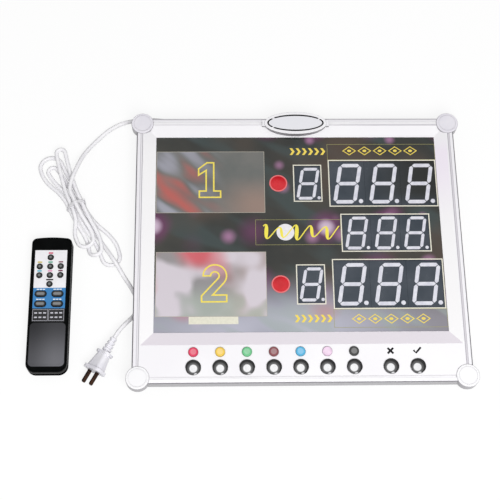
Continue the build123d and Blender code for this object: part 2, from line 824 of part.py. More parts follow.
# Mains transformer: iron core and coil in a strap, on the back of the case
coil_z = wall_t + strap_t + coil_up
core_z = coil_z + (coil_d - core_d) / 2
with BuildPart() as transformer:
    with BuildSketch(Plane.XY.offset(coil_z)):
        with Locations((transformer_x, transformer_y)):
            RectangleRounded(coil_w, coil_h, coil_r)
    extrude(amount=coil_d)
    with BuildSketch(Plane.XY.offset(core_z)):
        with Locations((transformer_x, transformer_y)):
            Rectangle(core_w, core_h)
    extrude(amount=core_d)
    with BuildSketch(Plane.XY.offset(wall_t)):
        with Locations((transformer_x, transformer_y)):
            Rectangle(strap_w, strap_h)
            with GridLocations(strap_hole_pitch, 0, 2, 1):
                Circle(strap_hole_r, mode=Mode.SUBTRACT)
    extrude(amount=strap_t)
    with BuildSketch(Plane.XY.offset(wall_t)):
        with Locations((transformer_x, transformer_y)):
            with GridLocations(core_w + strap_t, 0, 2, 1):
                Rectangle(strap_t, strap_h)
    extrude(amount=core_z + core_d - wall_t)
transformer.part.label = "transformer"
export_step(transformer.part, "parts/transformer.step")

# Back cover: tray, raised box, keyholes, vents, cord hole and the posts of the display board
hump_edge_y = hump_h / 2
with BuildPart() as back_cover:
    with BuildSketch():
        RectangleRounded(hump_w, hump_h, hump_corner_r)
    extrude(amount=hump_d)
    chamfer(back_cover.edges().group_by(Axis.Z)[0], length=back_edge)
    with BuildSketch(Plane.XY.offset(hump_d)):
        RectangleRounded(tray_w, tray_h, tray_corner_r)
    extrude(amount=tray_d)
    with BuildSketch(Plane.XY.offset(rail_z - rim_t)):
        RectangleRounded(case_w - 2 * rim_u, case_h - 2 * rim_u, tray_corner_r)
    extrude(amount=rim_t)
    with BuildSketch(Plane.XY.offset(tray_floor_z)):
        RectangleRounded(tray_w - 2 * wall_t, tray_h - 2 * wall_t, tray_corner_r - wall_t)
    extrude(amount=tray_d, mode=Mode.SUBTRACT)
    with BuildSketch(Plane.XY.offset(wall_t)):
        RectangleRounded(hump_w - 2 * wall_t, hump_h - 2 * wall_t, hump_corner_r - wall_t)
    extrude(amount=hump_d, mode=Mode.SUBTRACT)
    with BuildSketch(Plane.XY.offset(wall_t)):
        with Locations(*standoff_places):
            Circle(standoff_r)
    extrude(amount=display_board_z - wall_t)
    with BuildSketch():
        with Locations(*[(sx * keyhole_pitch / 2, keyhole_y) for sx in (-1, 1)]):
            Circle(keyhole_r)
        with Locations(*[(sx * keyhole_pitch / 2, keyhole_y + keyslot_len / 2) for sx in (-1, 1)]):
            Rectangle(keyslot_w, keyslot_len)
        with Locations(*[(sx * keyhole_pitch / 2, keyhole_y + keyslot_len) for sx in (-1, 1)]):
            Circle(keyslot_w / 2)
        with Locations((vent_x, vent_y)):
            with GridLocations(vent_pitch, 0, vent_count, 1):
                SlotOverall(vent_len, vent_w, rotation=90)
    extrude(amount=wall_t, mode=Mode.SUBTRACT)
    with BuildSketch(Plane.XY.offset(rail_z - rim_t)):
        with Locations(*screw_places):
            Circle(screw_r + snug)
    extrude(amount=rim_t, mode=Mode.SUBTRACT)
    with BuildSketch(Plane(origin=(gland_x, hump_edge_y, gland_z), z_dir=(0, 1, 0))):
        Circle(gland_neck_r)
    extrude(amount=-wall_t, mode=Mode.SUBTRACT)
back_cover.part.label = "back_cover"
export_step(back_cover.part, "parts/back_cover.step")

# Case screws, up through the rim into the rails
with BuildPart() as case_screws:
    with BuildSketch(Plane.XY.offset(rail_z - rim_t - screw_head_h)):
        with Locations(*screw_places):
            Circle(screw_head_r)
    extrude(amount=screw_head_h)
    chamfer(case_screws.edges().group_by(Axis.Z)[0], length=screw_head_h / 3)
    with BuildSketch(Plane.XY.offset(rail_z - rim_t)):
        with Locations(*screw_places):
            Circle(screw_r - snug / 2)
    extrude(amount=screw_len)
case_screws.part.label = "case_screws"
export_step(case_screws.part, "parts/case_screws.step")


def rib_points(r0, r1, start, length, count, groove):
    """Steps of a ribbed taper, as (radius, place along its axis), from r0 to r1."""
    points = []
    pitch = length / count
    for k in range(count):
        r = r0 + (r1 - r0) * k / (count - 1)
        points.append((r, start + k * pitch))
        points.append((r, start + (k + 1 / 2) * pitch))
        if k < count - 1:
            points.append((r - groove, start + (k + 1 / 2) * pitch))
            points.append((r - groove, start + (k + 1) * pitch))
        else:
            points.append((r - groove, start + (k + 1 / 2) * pitch))
            points.append((r - groove, start + length))
    return points


# Cord gland in the box's top wall, with a ribbed relief
relief_end_y = hump_edge_y + relief_len
with BuildPart() as cord_gland:
    with BuildSketch(Plane(origin=(gland_x, hump_edge_y, gland_z), x_dir=(1, 0, 0), z_dir=(0, 0, 1))):
        with BuildLine():
            Polyline(
                (0, -wall_t - gland_neck_in),
                (gland_neck_r, -wall_t - gland_neck_in),
                (gland_neck_r, 0),
                (gland_flange_r, 0),
                (gland_flange_r, gland_flange_t),
                *rib_points(relief_r0, relief_r1, gland_flange_t, relief_len - gland_flange_t, relief_ribs,
                            relief_groove),
                (0, relief_len),
                close=True,
            )
        make_face()
    revolve(axis=Axis((gland_x, hump_edge_y, gland_z), (0, 1, 0)))
cord_gland.part.label = "cord_gland"
export_step(cord_gland.part, "parts/cord_gland.step")


def arc_radii(points):
    """Largest arc at each corner that leaves a tenth of the shorter run straight."""
    radii = []
    for a, b, c in zip(points[:-2], points[1:-1], points[2:]):
        turn = radians((b - a).get_angle(c - b))
        run = min((b - a).length, (c - b).length)
        radii.append(9 / 20 * run / tan(turn / 2))
    return radii


def beside(x, y, z):
    """Point given from the case's top left corner, with its height."""
    return Vector(x - half_w, y + half_h, z)


def heading(angle, side):
    """Unit direction that leans by the angle from the board's top edge, up (1) or down (-1)."""
    return Vector(-sin(radians(angle)), cos(radians(angle))) * side


def across(direction):
    """The direction turned a quarter to the right."""
    return Vector(direction.Y, -direction.X)


def waist_point(place, height, along):
    """Point of a strand at the waist, at its place across it and a distance along it."""
    up = heading(waist_lean, 1)
    return Vector(waist_x, waist_y, height) + across(up) * place + up * along


def arc_joint(p, t, q, u):
    """Middle point and direction of the two arcs that leave p along t and reach q along u."""
    v = q - p
    s = t + u
    reach = v.dot(s) + sqrt(v.dot(s) ** 2 + 2 * (1 - t.dot(u)) * v.dot(v))
    d = v.dot(v) / reach
    start = p + t * d
    end = q - u * d
    return (start + end) / 2, (end - start).normalized()


# The hank's knots: each loop leaves the waist, turns half round in two arcs and comes back
waist_dir = heading(waist_lean, 1)
hank_start = waist_point(lead_side, waist_top, waist_half + cord_d)
hank_end = waist_point(tail_side, waist_low, -waist_half - cord_d)
knots = [(hank_start, -waist_dir), (waist_point(lead_side, waist_top, waist_half), -waist_dir)]
for side, reach, lean, bend_lean, half, in_x, in_z, z0, z1, z2, out_x, out_z in loops:
    out = heading(bend_lean, side)
    middle = Vector(waist_x, waist_y) + heading(lean, side) * (reach - half)
    knots.append((waist_point(in_x, in_z, side * waist_half), waist_dir * side))
    knots.append((middle - across(out) * half + Vector(0, 0, z0), out))
    knots.append((middle + out * half + Vector(0, 0, z1), across(out)))
    knots.append((middle + across(out) * half + Vector(0, 0, z2), -out))
    knots.append((waist_point(out_x, out_z, side * waist_half), waist_dir * -side))
knots.append((waist_point(tail_side, waist_low, -waist_half), -waist_dir))
knots.append((hank_end, -waist_dir))

with BuildPart() as cord_hank:
    with BuildLine() as hank_path:
        for (p, t), (q, u) in zip(knots[:-1], knots[1:]):
            run = q - p
            if run.length < gap_step:
                continue
            if run.get_angle(t) + run.get_angle(u) < 1 / 100:
                Line(p, q)
                continue
            joint, joint_dir = arc_joint(p, t, q, u)
            TangentArc(p, joint, tangent=t)
            TangentArc(joint, q, tangent=joint_dir)
    with BuildSketch(Plane(origin=hank_start, z_dir=-waist_dir)):
        Circle(cord_r)
    sweep()
cord_hank.part.label = "cord_hank"
export_step(cord_hank.part, "parts/cord_hank.step")

hank_points = []
walked = 0.0
for edge in hank_path.wire().order_edges():
    steps = ceil(edge.length / gap_step)
    hank_points += [(walked + edge.length * k / steps, edge.position_at(k / steps)) for k in range(steps)]
    walked += edge.length
least = min(
    (p - q).length
    for i, (s, p) in enumerate(hank_points)
    for r, q in hank_points[i + 1:]
    if r - s > 3 * cord_d
)
hank_length = walked
print("hank length", round(hank_length, 1), "least gap to itself", round(least - cord_d, 3))
print("hank volume / (section x length)", round(cord_hank.part.volume / (pi * cord_r**2 * hank_length), 5))

# Free stretches of the cord: the lead to the hank and the tail to the plug
relief_end = Vector(gland_x, relief_end_y, gland_z)
lead_points = [
    relief_end,
    beside(62.5, -16, 5.0),
    beside(57.2, -3.2, 4.4),
    beside(47.3, 6.7, 3.8),
    beside(34.5, 12, 3.2),
    beside(8.5, 13.4, 2.8),
    beside(-18.5, 10.1, 2.8),
    beside(-39.5, -1.5, 2.8),
    beside(-58.5, -21, 2.9),
    beside(-72, -40, 7.2),
    beside(-81.5, -58.5, 13.5),
    beside(-89.3, -78, waist_top),
    hank_start + waist_dir * 12.5,
    hank_start,
]
plug_start = Vector(plug_x, plug_y, plug_z)
tail_points = [
    hank_end,
    hank_end - waist_dir * 9.5,
    beside(-56.5, -150, 2.8),
    beside(-41.5, -172, 2.9),
    beside(-32.5, -186.5, 9.1),
    beside(-23.5, -200, 9.1),
    beside(-14.5, -215, 2.9),
    beside(-5.3, -234.5, 2.8),
    beside(-1.3, -252, 2.9),
    beside(-3.7, -268, 5.6),
    beside(-11.7, -281, 10.0),
    plug_start - plug_dir * 12.0,
    plug_start,
]
free_length = 0.0
for name, points in (("cord_lead", lead_points), ("cord_tail", tail_points)):
    radii = arc_radii(points)
    with BuildPart() as stretch:
        with BuildLine() as route:
            FilletPolyline(*points, radius=radii)
        with BuildSketch(Plane(origin=points[0], z_dir=points[1] - points[0])):
            Circle(cord_r)
        sweep()
    stretch.part.label = name
    export_step(stretch.part, f"parts/{name}.step")
    length = route.wire().length
    free_length += length
    print(name, "length", round(length, 1), "radii", [round(r) for r in radii])
    print(name, "volume / (section x length)", round(stretch.part.volume / (pi * cord_r**2 * length), 5))
print("whole cord", round(hank_length + free_length))

# Tie round the waist, with its twisted ends standing out
tie_plane = Plane(origin=waist_point(0, 0, 0), x_dir=across(waist_dir), z_dir=-waist_dir)
tie_gap = fit
with BuildSketch() as waist_outline:
    with Locations(*waist_places):
        Circle(cord_r + tie_gap)
    make_hull()
with BuildPart() as cord_tie:
    with BuildSketch(tie_plane):
        offset(waist_outline.sketch, amount=tie_t)
        add(waist_outline.sketch, mode=Mode.SUBTRACT)
    extrude(amount=tie_w / 2, both=True)
    with BuildSketch(tie_plane):
        with Locations((waist_places[3][0] + cord_r + tie_gap + tie_t / 2, waist_low + tie_tail_len / 2)):
            Rectangle(tie_t, tie_tail_len)
    extrude(amount=tie_tail_w / 2, both=True)
cord_tie.part.label = "cord_tie"
export_step(cord_tie.part, "parts/cord_tie.step")

# Plug body: ribbed relief, rear flange, waisted grip and front flange, rolled on the table
flat_side = Vector(-plug_dir.Y, plug_dir.X, 0)
plug_side = flat_side * cos(radians(plug_roll)) + Vector(0, 0, 1) * sin(radians(plug_roll))
plug_plane = Plane(origin=plug_start, x_dir=plug_side, z_dir=plug_dir)
grip_z = plug_relief_len + plug_rear_t
front_flange_z = grip_z + plug_grip_len
plug_face = front_flange_z + plug_front_t
with BuildPart() as plug_body:
    with BuildSketch(Plane(origin=plug_start, x_dir=plug_side, z_dir=plug_plane.y_dir * -1)):
        with BuildLine():
            Polyline(
                (0, 0),
                *rib_points(plug_relief_r0, plug_relief_r1, 0, plug_relief_len, plug_ribs, plug_groove),
                (0, plug_relief_len),
                close=True,
            )
        make_face()
    revolve(axis=Axis(plug_start, plug_dir))
    with BuildSketch(plug_plane.offset(plug_relief_len)):
        RectangleRounded(plug_rear_w, plug_rear_h, plug_corner_r)
    extrude(amount=plug_rear_t)
    with BuildSketch(plug_plane.offset(grip_z)):
        RectangleRounded(plug_grip_w0, plug_grip_h0, plug_corner_r - plug_edge_r)
    with BuildSketch(plug_plane.offset(front_flange_z)):
        RectangleRounded(plug_grip_w1, plug_grip_h1, plug_corner_r)
    loft()
    with BuildSketch(plug_plane.offset(front_flange_z)):
        RectangleRounded(plug_front_w, plug_front_h, plug_corner_r)
    extrude(amount=plug_front_t)
plug_body.part.label = "plug_body"
export_step(plug_body.part, "parts/plug_body.step")

# Two flat blades
with BuildPart() as plug_pins:
    for side in (-1, 1):
        blade_start = plug_start + plug_side * (side * blade_pitch - blade_t) / 2
        with BuildSketch(Plane(blade_start, x_dir=plug_dir, z_dir=plug_side)) as blade:
            with Locations((plug_face + blade_len / 2, 0)):
                Rectangle(blade_len, blade_w)
            fillet(blade.vertices().group_by(Axis.X)[-1], radius=blade_tip_r)
        extrude(amount=blade_t)
plug_pins.part.label = "plug_pins"
export_step(plug_pins.part, "parts/plug_pins.step")

# Outline of the remote, small corners at its top end and large ones at its lower end
with BuildSketch() as remote_outline:
    with BuildLine():
        Polyline(
            (remote_x - remote_w / 2, remote_top_y),
            (remote_x - remote_w / 2, remote_bottom_y),
            (remote_x + remote_w / 2, remote_bottom_y),
            (remote_x + remote_w / 2, remote_top_y),
        )
        ThreePointArc(
            (remote_x + remote_w / 2, remote_top_y),
            (remote_x, remote_end_y),
            (remote_x - remote_w / 2, remote_top_y),
        )
    make_face()
    fillet(remote_outline.vertices().group_by(Axis.Y)[-1], radius=remote_top_r)
    fillet(remote_outline.vertices().group_by(Axis.Y)[0], radius=remote_bottom_r)

# Solid lower half, which the shell and the battery door are cut from
with BuildPart() as remote_back:
    add(remote_outline.sketch)
    extrude(amount=remote_split)
    fillet(remote_back.edges().group_by(Axis.Z)[0], radius=remote_back_edge_r)

# Room that the battery door takes, out through the lower end
door_bottom_y = remote_bottom_y - over
door_gap_h = door_top_y - door_bottom_y
with BuildPart() as door_room:
    with BuildSketch():
        with Locations((remote_x, (door_top_y + door_bottom_y) / 2)):
            Rectangle(door_w, door_gap_h)
    extrude(amount=door_t)
    with BuildSketch(Plane.XY.offset(door_t / 2)):
        with Locations((remote_x, (door_top_y + door_bottom_y) / 2)):
            Rectangle(door_w + 2 * door_tongue, door_gap_h)
    extrude(amount=door_t / 2)

with BuildPart() as remote_battery_door:
    add(remote_back.part)
    add(door_room.part, mode=Mode.INTERSECT)
remote_battery_door.part.label = "remote_battery_door"
export_step(remote_battery_door.part, "parts/remote_battery_door.step")

# Lower shell with its door opening, board posts and infrared cut-out
inner_w = remote_w - 2 * remote_wall_t
inner_len = remote_len - 2 * remote_wall_t
board_post_places = [
    (remote_x + sx * (remote_board_w / 2 - remote_post_r),
     remote_board_y + sy * (remote_board_h / 2 - remote_post_r))
    for sx, sy in corner_signs
]
window_z = remote_split - window_h / 2
with BuildPart() as remote_lower_shell:
    add(remote_back.part)
    with BuildSketch(Plane.XY.offset(remote_wall_t)):
        offset(remote_outline.sketch, amount=-remote_wall_t)
    extrude(amount=remote_split, mode=Mode.SUBTRACT)
    with BuildSketch():
        with Locations((remote_x, (door_top_y + fit + door_bottom_y) / 2)):
            Rectangle(door_w + 2 * fit, door_gap_h + fit)
    extrude(amount=remote_wall_t, mode=Mode.SUBTRACT)
    with BuildSketch(Plane.XY.offset(door_t / 2 - snug)):
        with Locations((remote_x, (door_top_y + fit + door_bottom_y) / 2)):
            Rectangle(door_w + 2 * door_tongue + 2 * fit, door_gap_h + fit)
    extrude(amount=remote_wall_t, mode=Mode.SUBTRACT)
    with BuildSketch(Plane.XY.offset(remote_wall_t)):
        with Locations(*board_post_places):
            Circle(remote_post_r)
    extrude(amount=remote_board_z - remote_wall_t)
    with BuildSketch(Plane.XY.offset(window_z)):
        with Locations((remote_x, remote_end_y)):
            Rectangle(window_w + 2 * snug, 2 * window_d)
    extrude(amount=window_h, mode=Mode.SUBTRACT)
remote_lower_shell.part.label = "remote_lower_shell"
export_step(remote_lower_shell.part, "parts/remote_lower_shell.step")

# Upper shell with the recess of the faceplate and the key holes
face_z = remote_d - face_t
with BuildPart() as remote_upper_shell:
    with BuildSketch(Plane.XY.offset(remote_split)):
        add(remote_outline.sketch)
    extrude(amount=remote_d - remote_split)
    fillet(remote_upper_shell.edges().group_by(Axis.Z)[-1], radius=remote_edge_r)
    with BuildSketch(Plane.XY.offset(remote_split)):
        offset(remote_outline.sketch, amount=-remote_wall_t)
    extrude(amount=remote_face_z - remote_split, mode=Mode.SUBTRACT)
    with BuildSketch(Plane.XY.offset(face_z)):
        with Locations((remote_x, face_y)):
            Rectangle(face_w + 2 * snug, face_h + 2 * snug)
    extrude(amount=remote_d, mode=Mode.SUBTRACT)
    with BuildSketch(Plane.XY.offset(remote_d)) as grip_field:
        with Locations((remote_x, grip_top_y - grip_h / 2)):
            Rectangle(grip_w, grip_h)
        fillet(grip_field.vertices().group_by(Axis.Y)[0], radius=grip_r)
    extrude(amount=-grip_d, mode=Mode.SUBTRACT)
    with BuildSketch(Plane.XY.offset(remote_split)):
        with Locations(*[(x, y) for name, x, y in round_keys]):
            Circle(remote_key_r + fit)
        with Locations(*[(x, y) for name, x, y in bar_keys]):
            SlotOverall(bar_key_w + 2 * fit, bar_key_h + 2 * fit)
    extrude(amount=remote_d, mode=Mode.SUBTRACT)
    with BuildSketch(Plane.XY.offset(remote_split)):
        with Locations((remote_x, remote_end_y)):
            Rectangle(window_w + 2 * snug, 2 * window_d)
    extrude(amount=window_h / 2 + snug, mode=Mode.SUBTRACT)
remote_upper_shell.part.label = "remote_upper_shell"
export_step(remote_upper_shell.part, "parts/remote_upper_shell.step")

# Printed faceplate in its recess
with BuildPart() as remote_faceplate:
    with BuildSketch(Plane.XY.offset(face_z)):
        with Locations((remote_x, face_y)):
            Rectangle(face_w, face_h)
        with Locations(*[(x, y) for name, x, y in round_keys]):
            Circle(remote_key_r + fit, mode=Mode.SUBTRACT)
        with Locations(*[(x, y) for name, x, y in bar_keys]):
            SlotOverall(bar_key_w + 2 * fit, bar_key_h + 2 * fit, mode=Mode.SUBTRACT)
    extrude(amount=face_t + face_proud)
remote_faceplate.part.label = "remote_faceplate"
export_step(remote_faceplate.part, "parts/remote_faceplate.step")

# Rubber keys of the remote, each with a flange under the shell
flange_z = remote_face_z - snug - remote_flange_t
remote_key_top = remote_d + remote_key_up
for name, x, y in round_keys:
    with BuildPart() as key:
        with BuildSketch(Plane.XY.offset(flange_z)):
            with Locations((x, y)):
                Circle(remote_key_r)
        extrude(amount=remote_key_top - flange_z)
        fillet(key.edges().group_by(Axis.Z)[-1], radius=remote_key_edge_r)
        with BuildSketch(Plane.XY.offset(flange_z)):
            with Locations((x, y)):
                Circle(remote_key_r + remote_flange)
        extrude(amount=remote_flange_t)
    key.part.label = name
    export_step(key.part, f"parts/{name}.step")
for name, x, y in bar_keys:
    with BuildPart() as key:
        with BuildSketch(Plane.XY.offset(flange_z)):
            with Locations((x, y)):
                SlotOverall(bar_key_w, bar_key_h)
        extrude(amount=remote_key_top - flange_z)
        fillet(key.edges().group_by(Axis.Z)[-1], radius=remote_key_edge_r)
        with BuildSketch(Plane.XY.offset(flange_z)):
            with Locations((x, y)):
                SlotOverall(bar_key_w + 2 * remote_flange, bar_key_h + 2 * remote_flange)
        extrude(amount=remote_flange_t)
    key.part.label = name
    export_step(key.part, f"parts/{name}.step")

# Key mat on the remote's circuit board
with BuildPart() as remote_key_mat:
    with BuildSketch(Plane.XY.offset(mat_z)):
        with Locations((remote_x, remote_board_y)):
            Rectangle(remote_board_w, remote_board_h)
    extrude(amount=mat_t)
remote_key_mat.part.label = "remote_key_mat"
export_step(remote_key_mat.part, "parts/remote_key_mat.step")

with BuildPart() as remote_circuit_board:
    with BuildSketch(Plane.XY.offset(remote_board_z)):
        with Locations((remote_x, remote_board_y)):
            Rectangle(remote_board_w, remote_board_h)
    extrude(amount=remote_board_t)
remote_circuit_board.part.label = "remote_circuit_board"
export_step(remote_circuit_board.part, "parts/remote_circuit_board.step")

# Infrared window across the joint of the shells at the top end
with BuildPart() as remote_infrared_window:
    with BuildSketch(Plane.XY.offset(window_z)):
        with Locations((remote_x, remote_end_y - window_d / 2)):
            Rectangle(window_w, window_d)
    extrude(amount=window_h)
remote_infrared_window.part.label = "remote_infrared_window"
export_step(remote_infrared_window.part, "parts/remote_infrared_window.step")

# Two cells side by side, nub ends opposite
cell_x = battery_r + battery_gap / 2
with BuildPart() as remote_batteries:
    for side in (-1, 1):
        base_y = battery_y - side * battery_len / 2
        body_len = battery_len - nub_len
        with BuildSketch(Plane(origin=(remote_x + side * cell_x, base_y, battery_z), z_dir=(0, side, 0))):
            Circle(battery_r)
        extrude(amount=body_len)
        with BuildSketch(Plane(origin=(remote_x + side * cell_x, base_y, battery_z), z_dir=(0, side, 0))):
            Circle(nub_r)
        extrude(amount=battery_len)
remote_batteries.part.label = "remote_batteries"
export_step(remote_batteries.part, "parts/remote_batteries.step")

# Contact plates at both ends of the cells, standing in the lower shell
with BuildPart() as remote_contacts:
    for side in (-1, 1):
        contact_y = battery_y + side * (battery_len / 2 + contact_t / 2)
        with BuildSketch(Plane.XY.offset(remote_wall_t)):
            with Locations((remote_x, contact_y)):
                Rectangle(4 * battery_r, contact_t)
        extrude(amount=contact_h)
remote_contacts.part.label = "remote_contacts"
export_step(remote_contacts.part, "parts/remote_contacts.step")
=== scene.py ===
import math

import bpy
import numpy as np
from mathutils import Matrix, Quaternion, Vector


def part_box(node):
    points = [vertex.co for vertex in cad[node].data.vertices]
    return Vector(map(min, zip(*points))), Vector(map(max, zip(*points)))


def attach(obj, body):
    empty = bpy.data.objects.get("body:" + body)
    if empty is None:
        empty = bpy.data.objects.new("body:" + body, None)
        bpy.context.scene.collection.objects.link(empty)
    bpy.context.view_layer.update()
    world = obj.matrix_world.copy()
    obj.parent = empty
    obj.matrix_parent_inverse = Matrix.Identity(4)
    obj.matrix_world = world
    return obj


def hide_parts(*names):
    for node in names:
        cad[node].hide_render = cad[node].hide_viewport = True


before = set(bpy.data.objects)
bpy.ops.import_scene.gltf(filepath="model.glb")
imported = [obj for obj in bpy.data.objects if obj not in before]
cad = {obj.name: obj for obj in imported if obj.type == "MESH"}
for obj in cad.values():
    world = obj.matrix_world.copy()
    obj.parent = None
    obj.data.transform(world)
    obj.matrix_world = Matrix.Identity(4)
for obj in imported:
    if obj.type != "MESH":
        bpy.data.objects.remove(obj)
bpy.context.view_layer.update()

# The camera looks down on the board from below its lower edge, a little left of its middle
# and slightly rolled, through a long lens.
camera_data = bpy.data.cameras.new("view")
camera_data.lens = 82.39
camera = bpy.data.objects.new("view", camera_data)
bpy.context.scene.collection.objects.link(camera)
bpy.context.scene.camera = camera
camera_seat = Vector((-0.1061, -0.5309, 1.4085))
looked_at = Vector((-0.06348, -0.00483, 0.027))
camera_roll = math.radians(4.07)
straight_look = (looked_at - camera_seat).to_track_quat("-Z", "Y")
camera.rotation_mode = "QUATERNION"
camera.location = camera_seat
camera.rotation_quaternion = straight_look @ Quaternion((0, 0, 1), camera_roll)
bpy.context.scene.view_settings.view_transform = "Standard"

# The table: a plain pale floor, which looks white to the eye and in reflections, and keeps a faint
# shadow of what lies on it. The light that it throws back on things is dimmer.


class ShaderNodes:
    """The shader nodes of a material or of the world. Each method adds a node."""

    def __init__(self, owner):
        owner.use_nodes = True
        self.tree = owner.node_tree

    def put(self, kind, inputs=None, **settings):
        """A node of that kind, with its settings. Each input takes a value or another node's output."""
        made = self.tree.nodes.new("ShaderNode" + kind)
        for name, value in settings.items():
            setattr(made, name, value)
        for name, value in (inputs or {}).items():
            if isinstance(value, bpy.types.NodeSocket):
                self.tree.links.new(value, made.inputs[name])
            else:
                made.inputs[name].default_value = value
        return made

    def number(self, operation, *values):
        """What an operation makes of its numbers."""
        return self.put("Math", dict(enumerate(values)), operation=operation).outputs[0]

    def vector(self, operation, *values):
        """What an operation makes of its vectors: a vector, or a number where it measures them."""
        made = self.put("VectorMath", dict(enumerate(values)), operation=operation).outputs
        return made["Value" if operation in ("LENGTH", "DISTANCE", "DOT_PRODUCT") else "Vector"]

    def axes(self, vector):
        """A vector's three numbers, by the names X, Y and Z."""
        return self.put("SeparateXYZ", {0: vector}).outputs

    def ramp(self, value, start, end, low=0.0, high=1.0, kind="SMOOTHSTEP"):
        """A number that goes from low where the value is at the start to high at the end, and stays there."""
        span = {"Value": value, "From Min": start, "From Max": end, "To Min": low, "To Max": high}
        return self.put("MapRange", span, interpolation_type=kind).outputs[0]


floor_half = 6.0
floor_gap = 0.0003
glow_share = 0.84
floor_signs = (-1, -1), (1, -1), (1, 1), (-1, 1)
floor_corners = [(x * floor_half, y * floor_half, -floor_gap) for x, y in floor_signs]
floor_mesh = bpy.data.meshes.new("floor")
floor_mesh.from_pydata(floor_corners, [], [(0, 1, 2, 3)])
floor = bpy.data.objects.new("floor", floor_mesh)
bpy.context.scene.collection.objects.link(floor)
table_finish = bpy.data.materials.new("white_table")
floor_mesh.materials.append(table_finish)
table = ShaderNodes(table_finish)
table.tree.nodes.clear()
paint = table.put("BsdfDiffuse", {"Color": (0.97, 0.97, 0.97, 1)}).outputs[0]
glow = table.put("Emission", {"Color": (1, 1, 1, 1), "Strength": 1.0}).outputs[0]
white_top = table.put("MixShader", {0: glow_share, 1: paint, 2: glow}).outputs[0]
bounce = table.put("BsdfDiffuse", {"Color": (0.40, 0.40, 0.41, 1)}).outputs[0]
ray = table.put("LightPath").outputs
seen = table.number("MAXIMUM", ray["Is Camera Ray"], ray["Is Glossy Ray"])
seen = table.number("MAXIMUM", seen, ray["Is Transmission Ray"])
table_top = table.put("MixShader", {0: seen, 1: bounce, 2: white_top}).outputs[0]
table.put("OutputMaterial", {"Surface": table_top})

# The studio: even white light from above, dark walls with one window that only gloss and polished
# metal show, and a soft lamp in front of the board, above the camera.
room_light = 0.56
window_way = (0.30, -0.76, 0.577)
studio = bpy.data.worlds.new("studio")
bpy.context.scene.world = studio
room = ShaderNodes(studio)
room.tree.nodes.clear()
towards = room.put("TexCoord").outputs["Generated"]
height = room.axes(towards)["Z"]
bright_top = room.ramp(height, 0.84, 0.87, 0.0, 0.80, "LINEAR")
haze = room.ramp(height, 0.55, 0.9, 0.04, 0.22, "LINEAR")
window = room.ramp(room.vector("DOT_PRODUCT", towards, window_way), 0.955, 0.985, 0.0, 0.8, "LINEAR")
walls = room.number("ADD", room.number("ADD", bright_top, haze), window)
ceiling = room.ramp(height, 0.0, 0.55, 0.15, 1.0, "LINEAR")
even = room.put("Background", {"Color": ceiling, "Strength": room_light}).outputs[0]
mirrored = room.put("Background", {"Color": walls, "Strength": 1.0}).outputs[0]
white = room.put("Background", {"Color": (1, 1, 1, 1), "Strength": 1.0}).outputs[0]
ray = room.put("LightPath").outputs
lit = room.put("MixShader", {0: ray["Is Glossy Ray"], 1: even, 2: mirrored}).outputs[0]
clear = room.number("MAXIMUM", ray["Is Camera Ray"], ray["Is Transmission Ray"])
room.put("OutputWorld", {"Surface": room.put("MixShader", {0: clear, 1: lit, 2: white}).outputs[0]})

lamp_data = bpy.data.lights.new("soft_lamp", "AREA")
lamp_data.shape = "DISK"
lamp_data.size = 1.2
lamp_data.energy = 33.0
lamp = bpy.data.objects.new("soft_lamp", lamp_data)
bpy.context.scene.collection.objects.link(lamp)
lamp.location = (0.25, -1.15, 1.75)
lamp.rotation_mode = "QUATERNION"
lamp.rotation_quaternion = (-lamp.location).to_track_quat("-Z", "Y")
lamp.visible_glossy = False

# The back: one moulded white cover with a box for the parts, screwed to the rails, and the white
# ribbed gland that the cord comes out of.


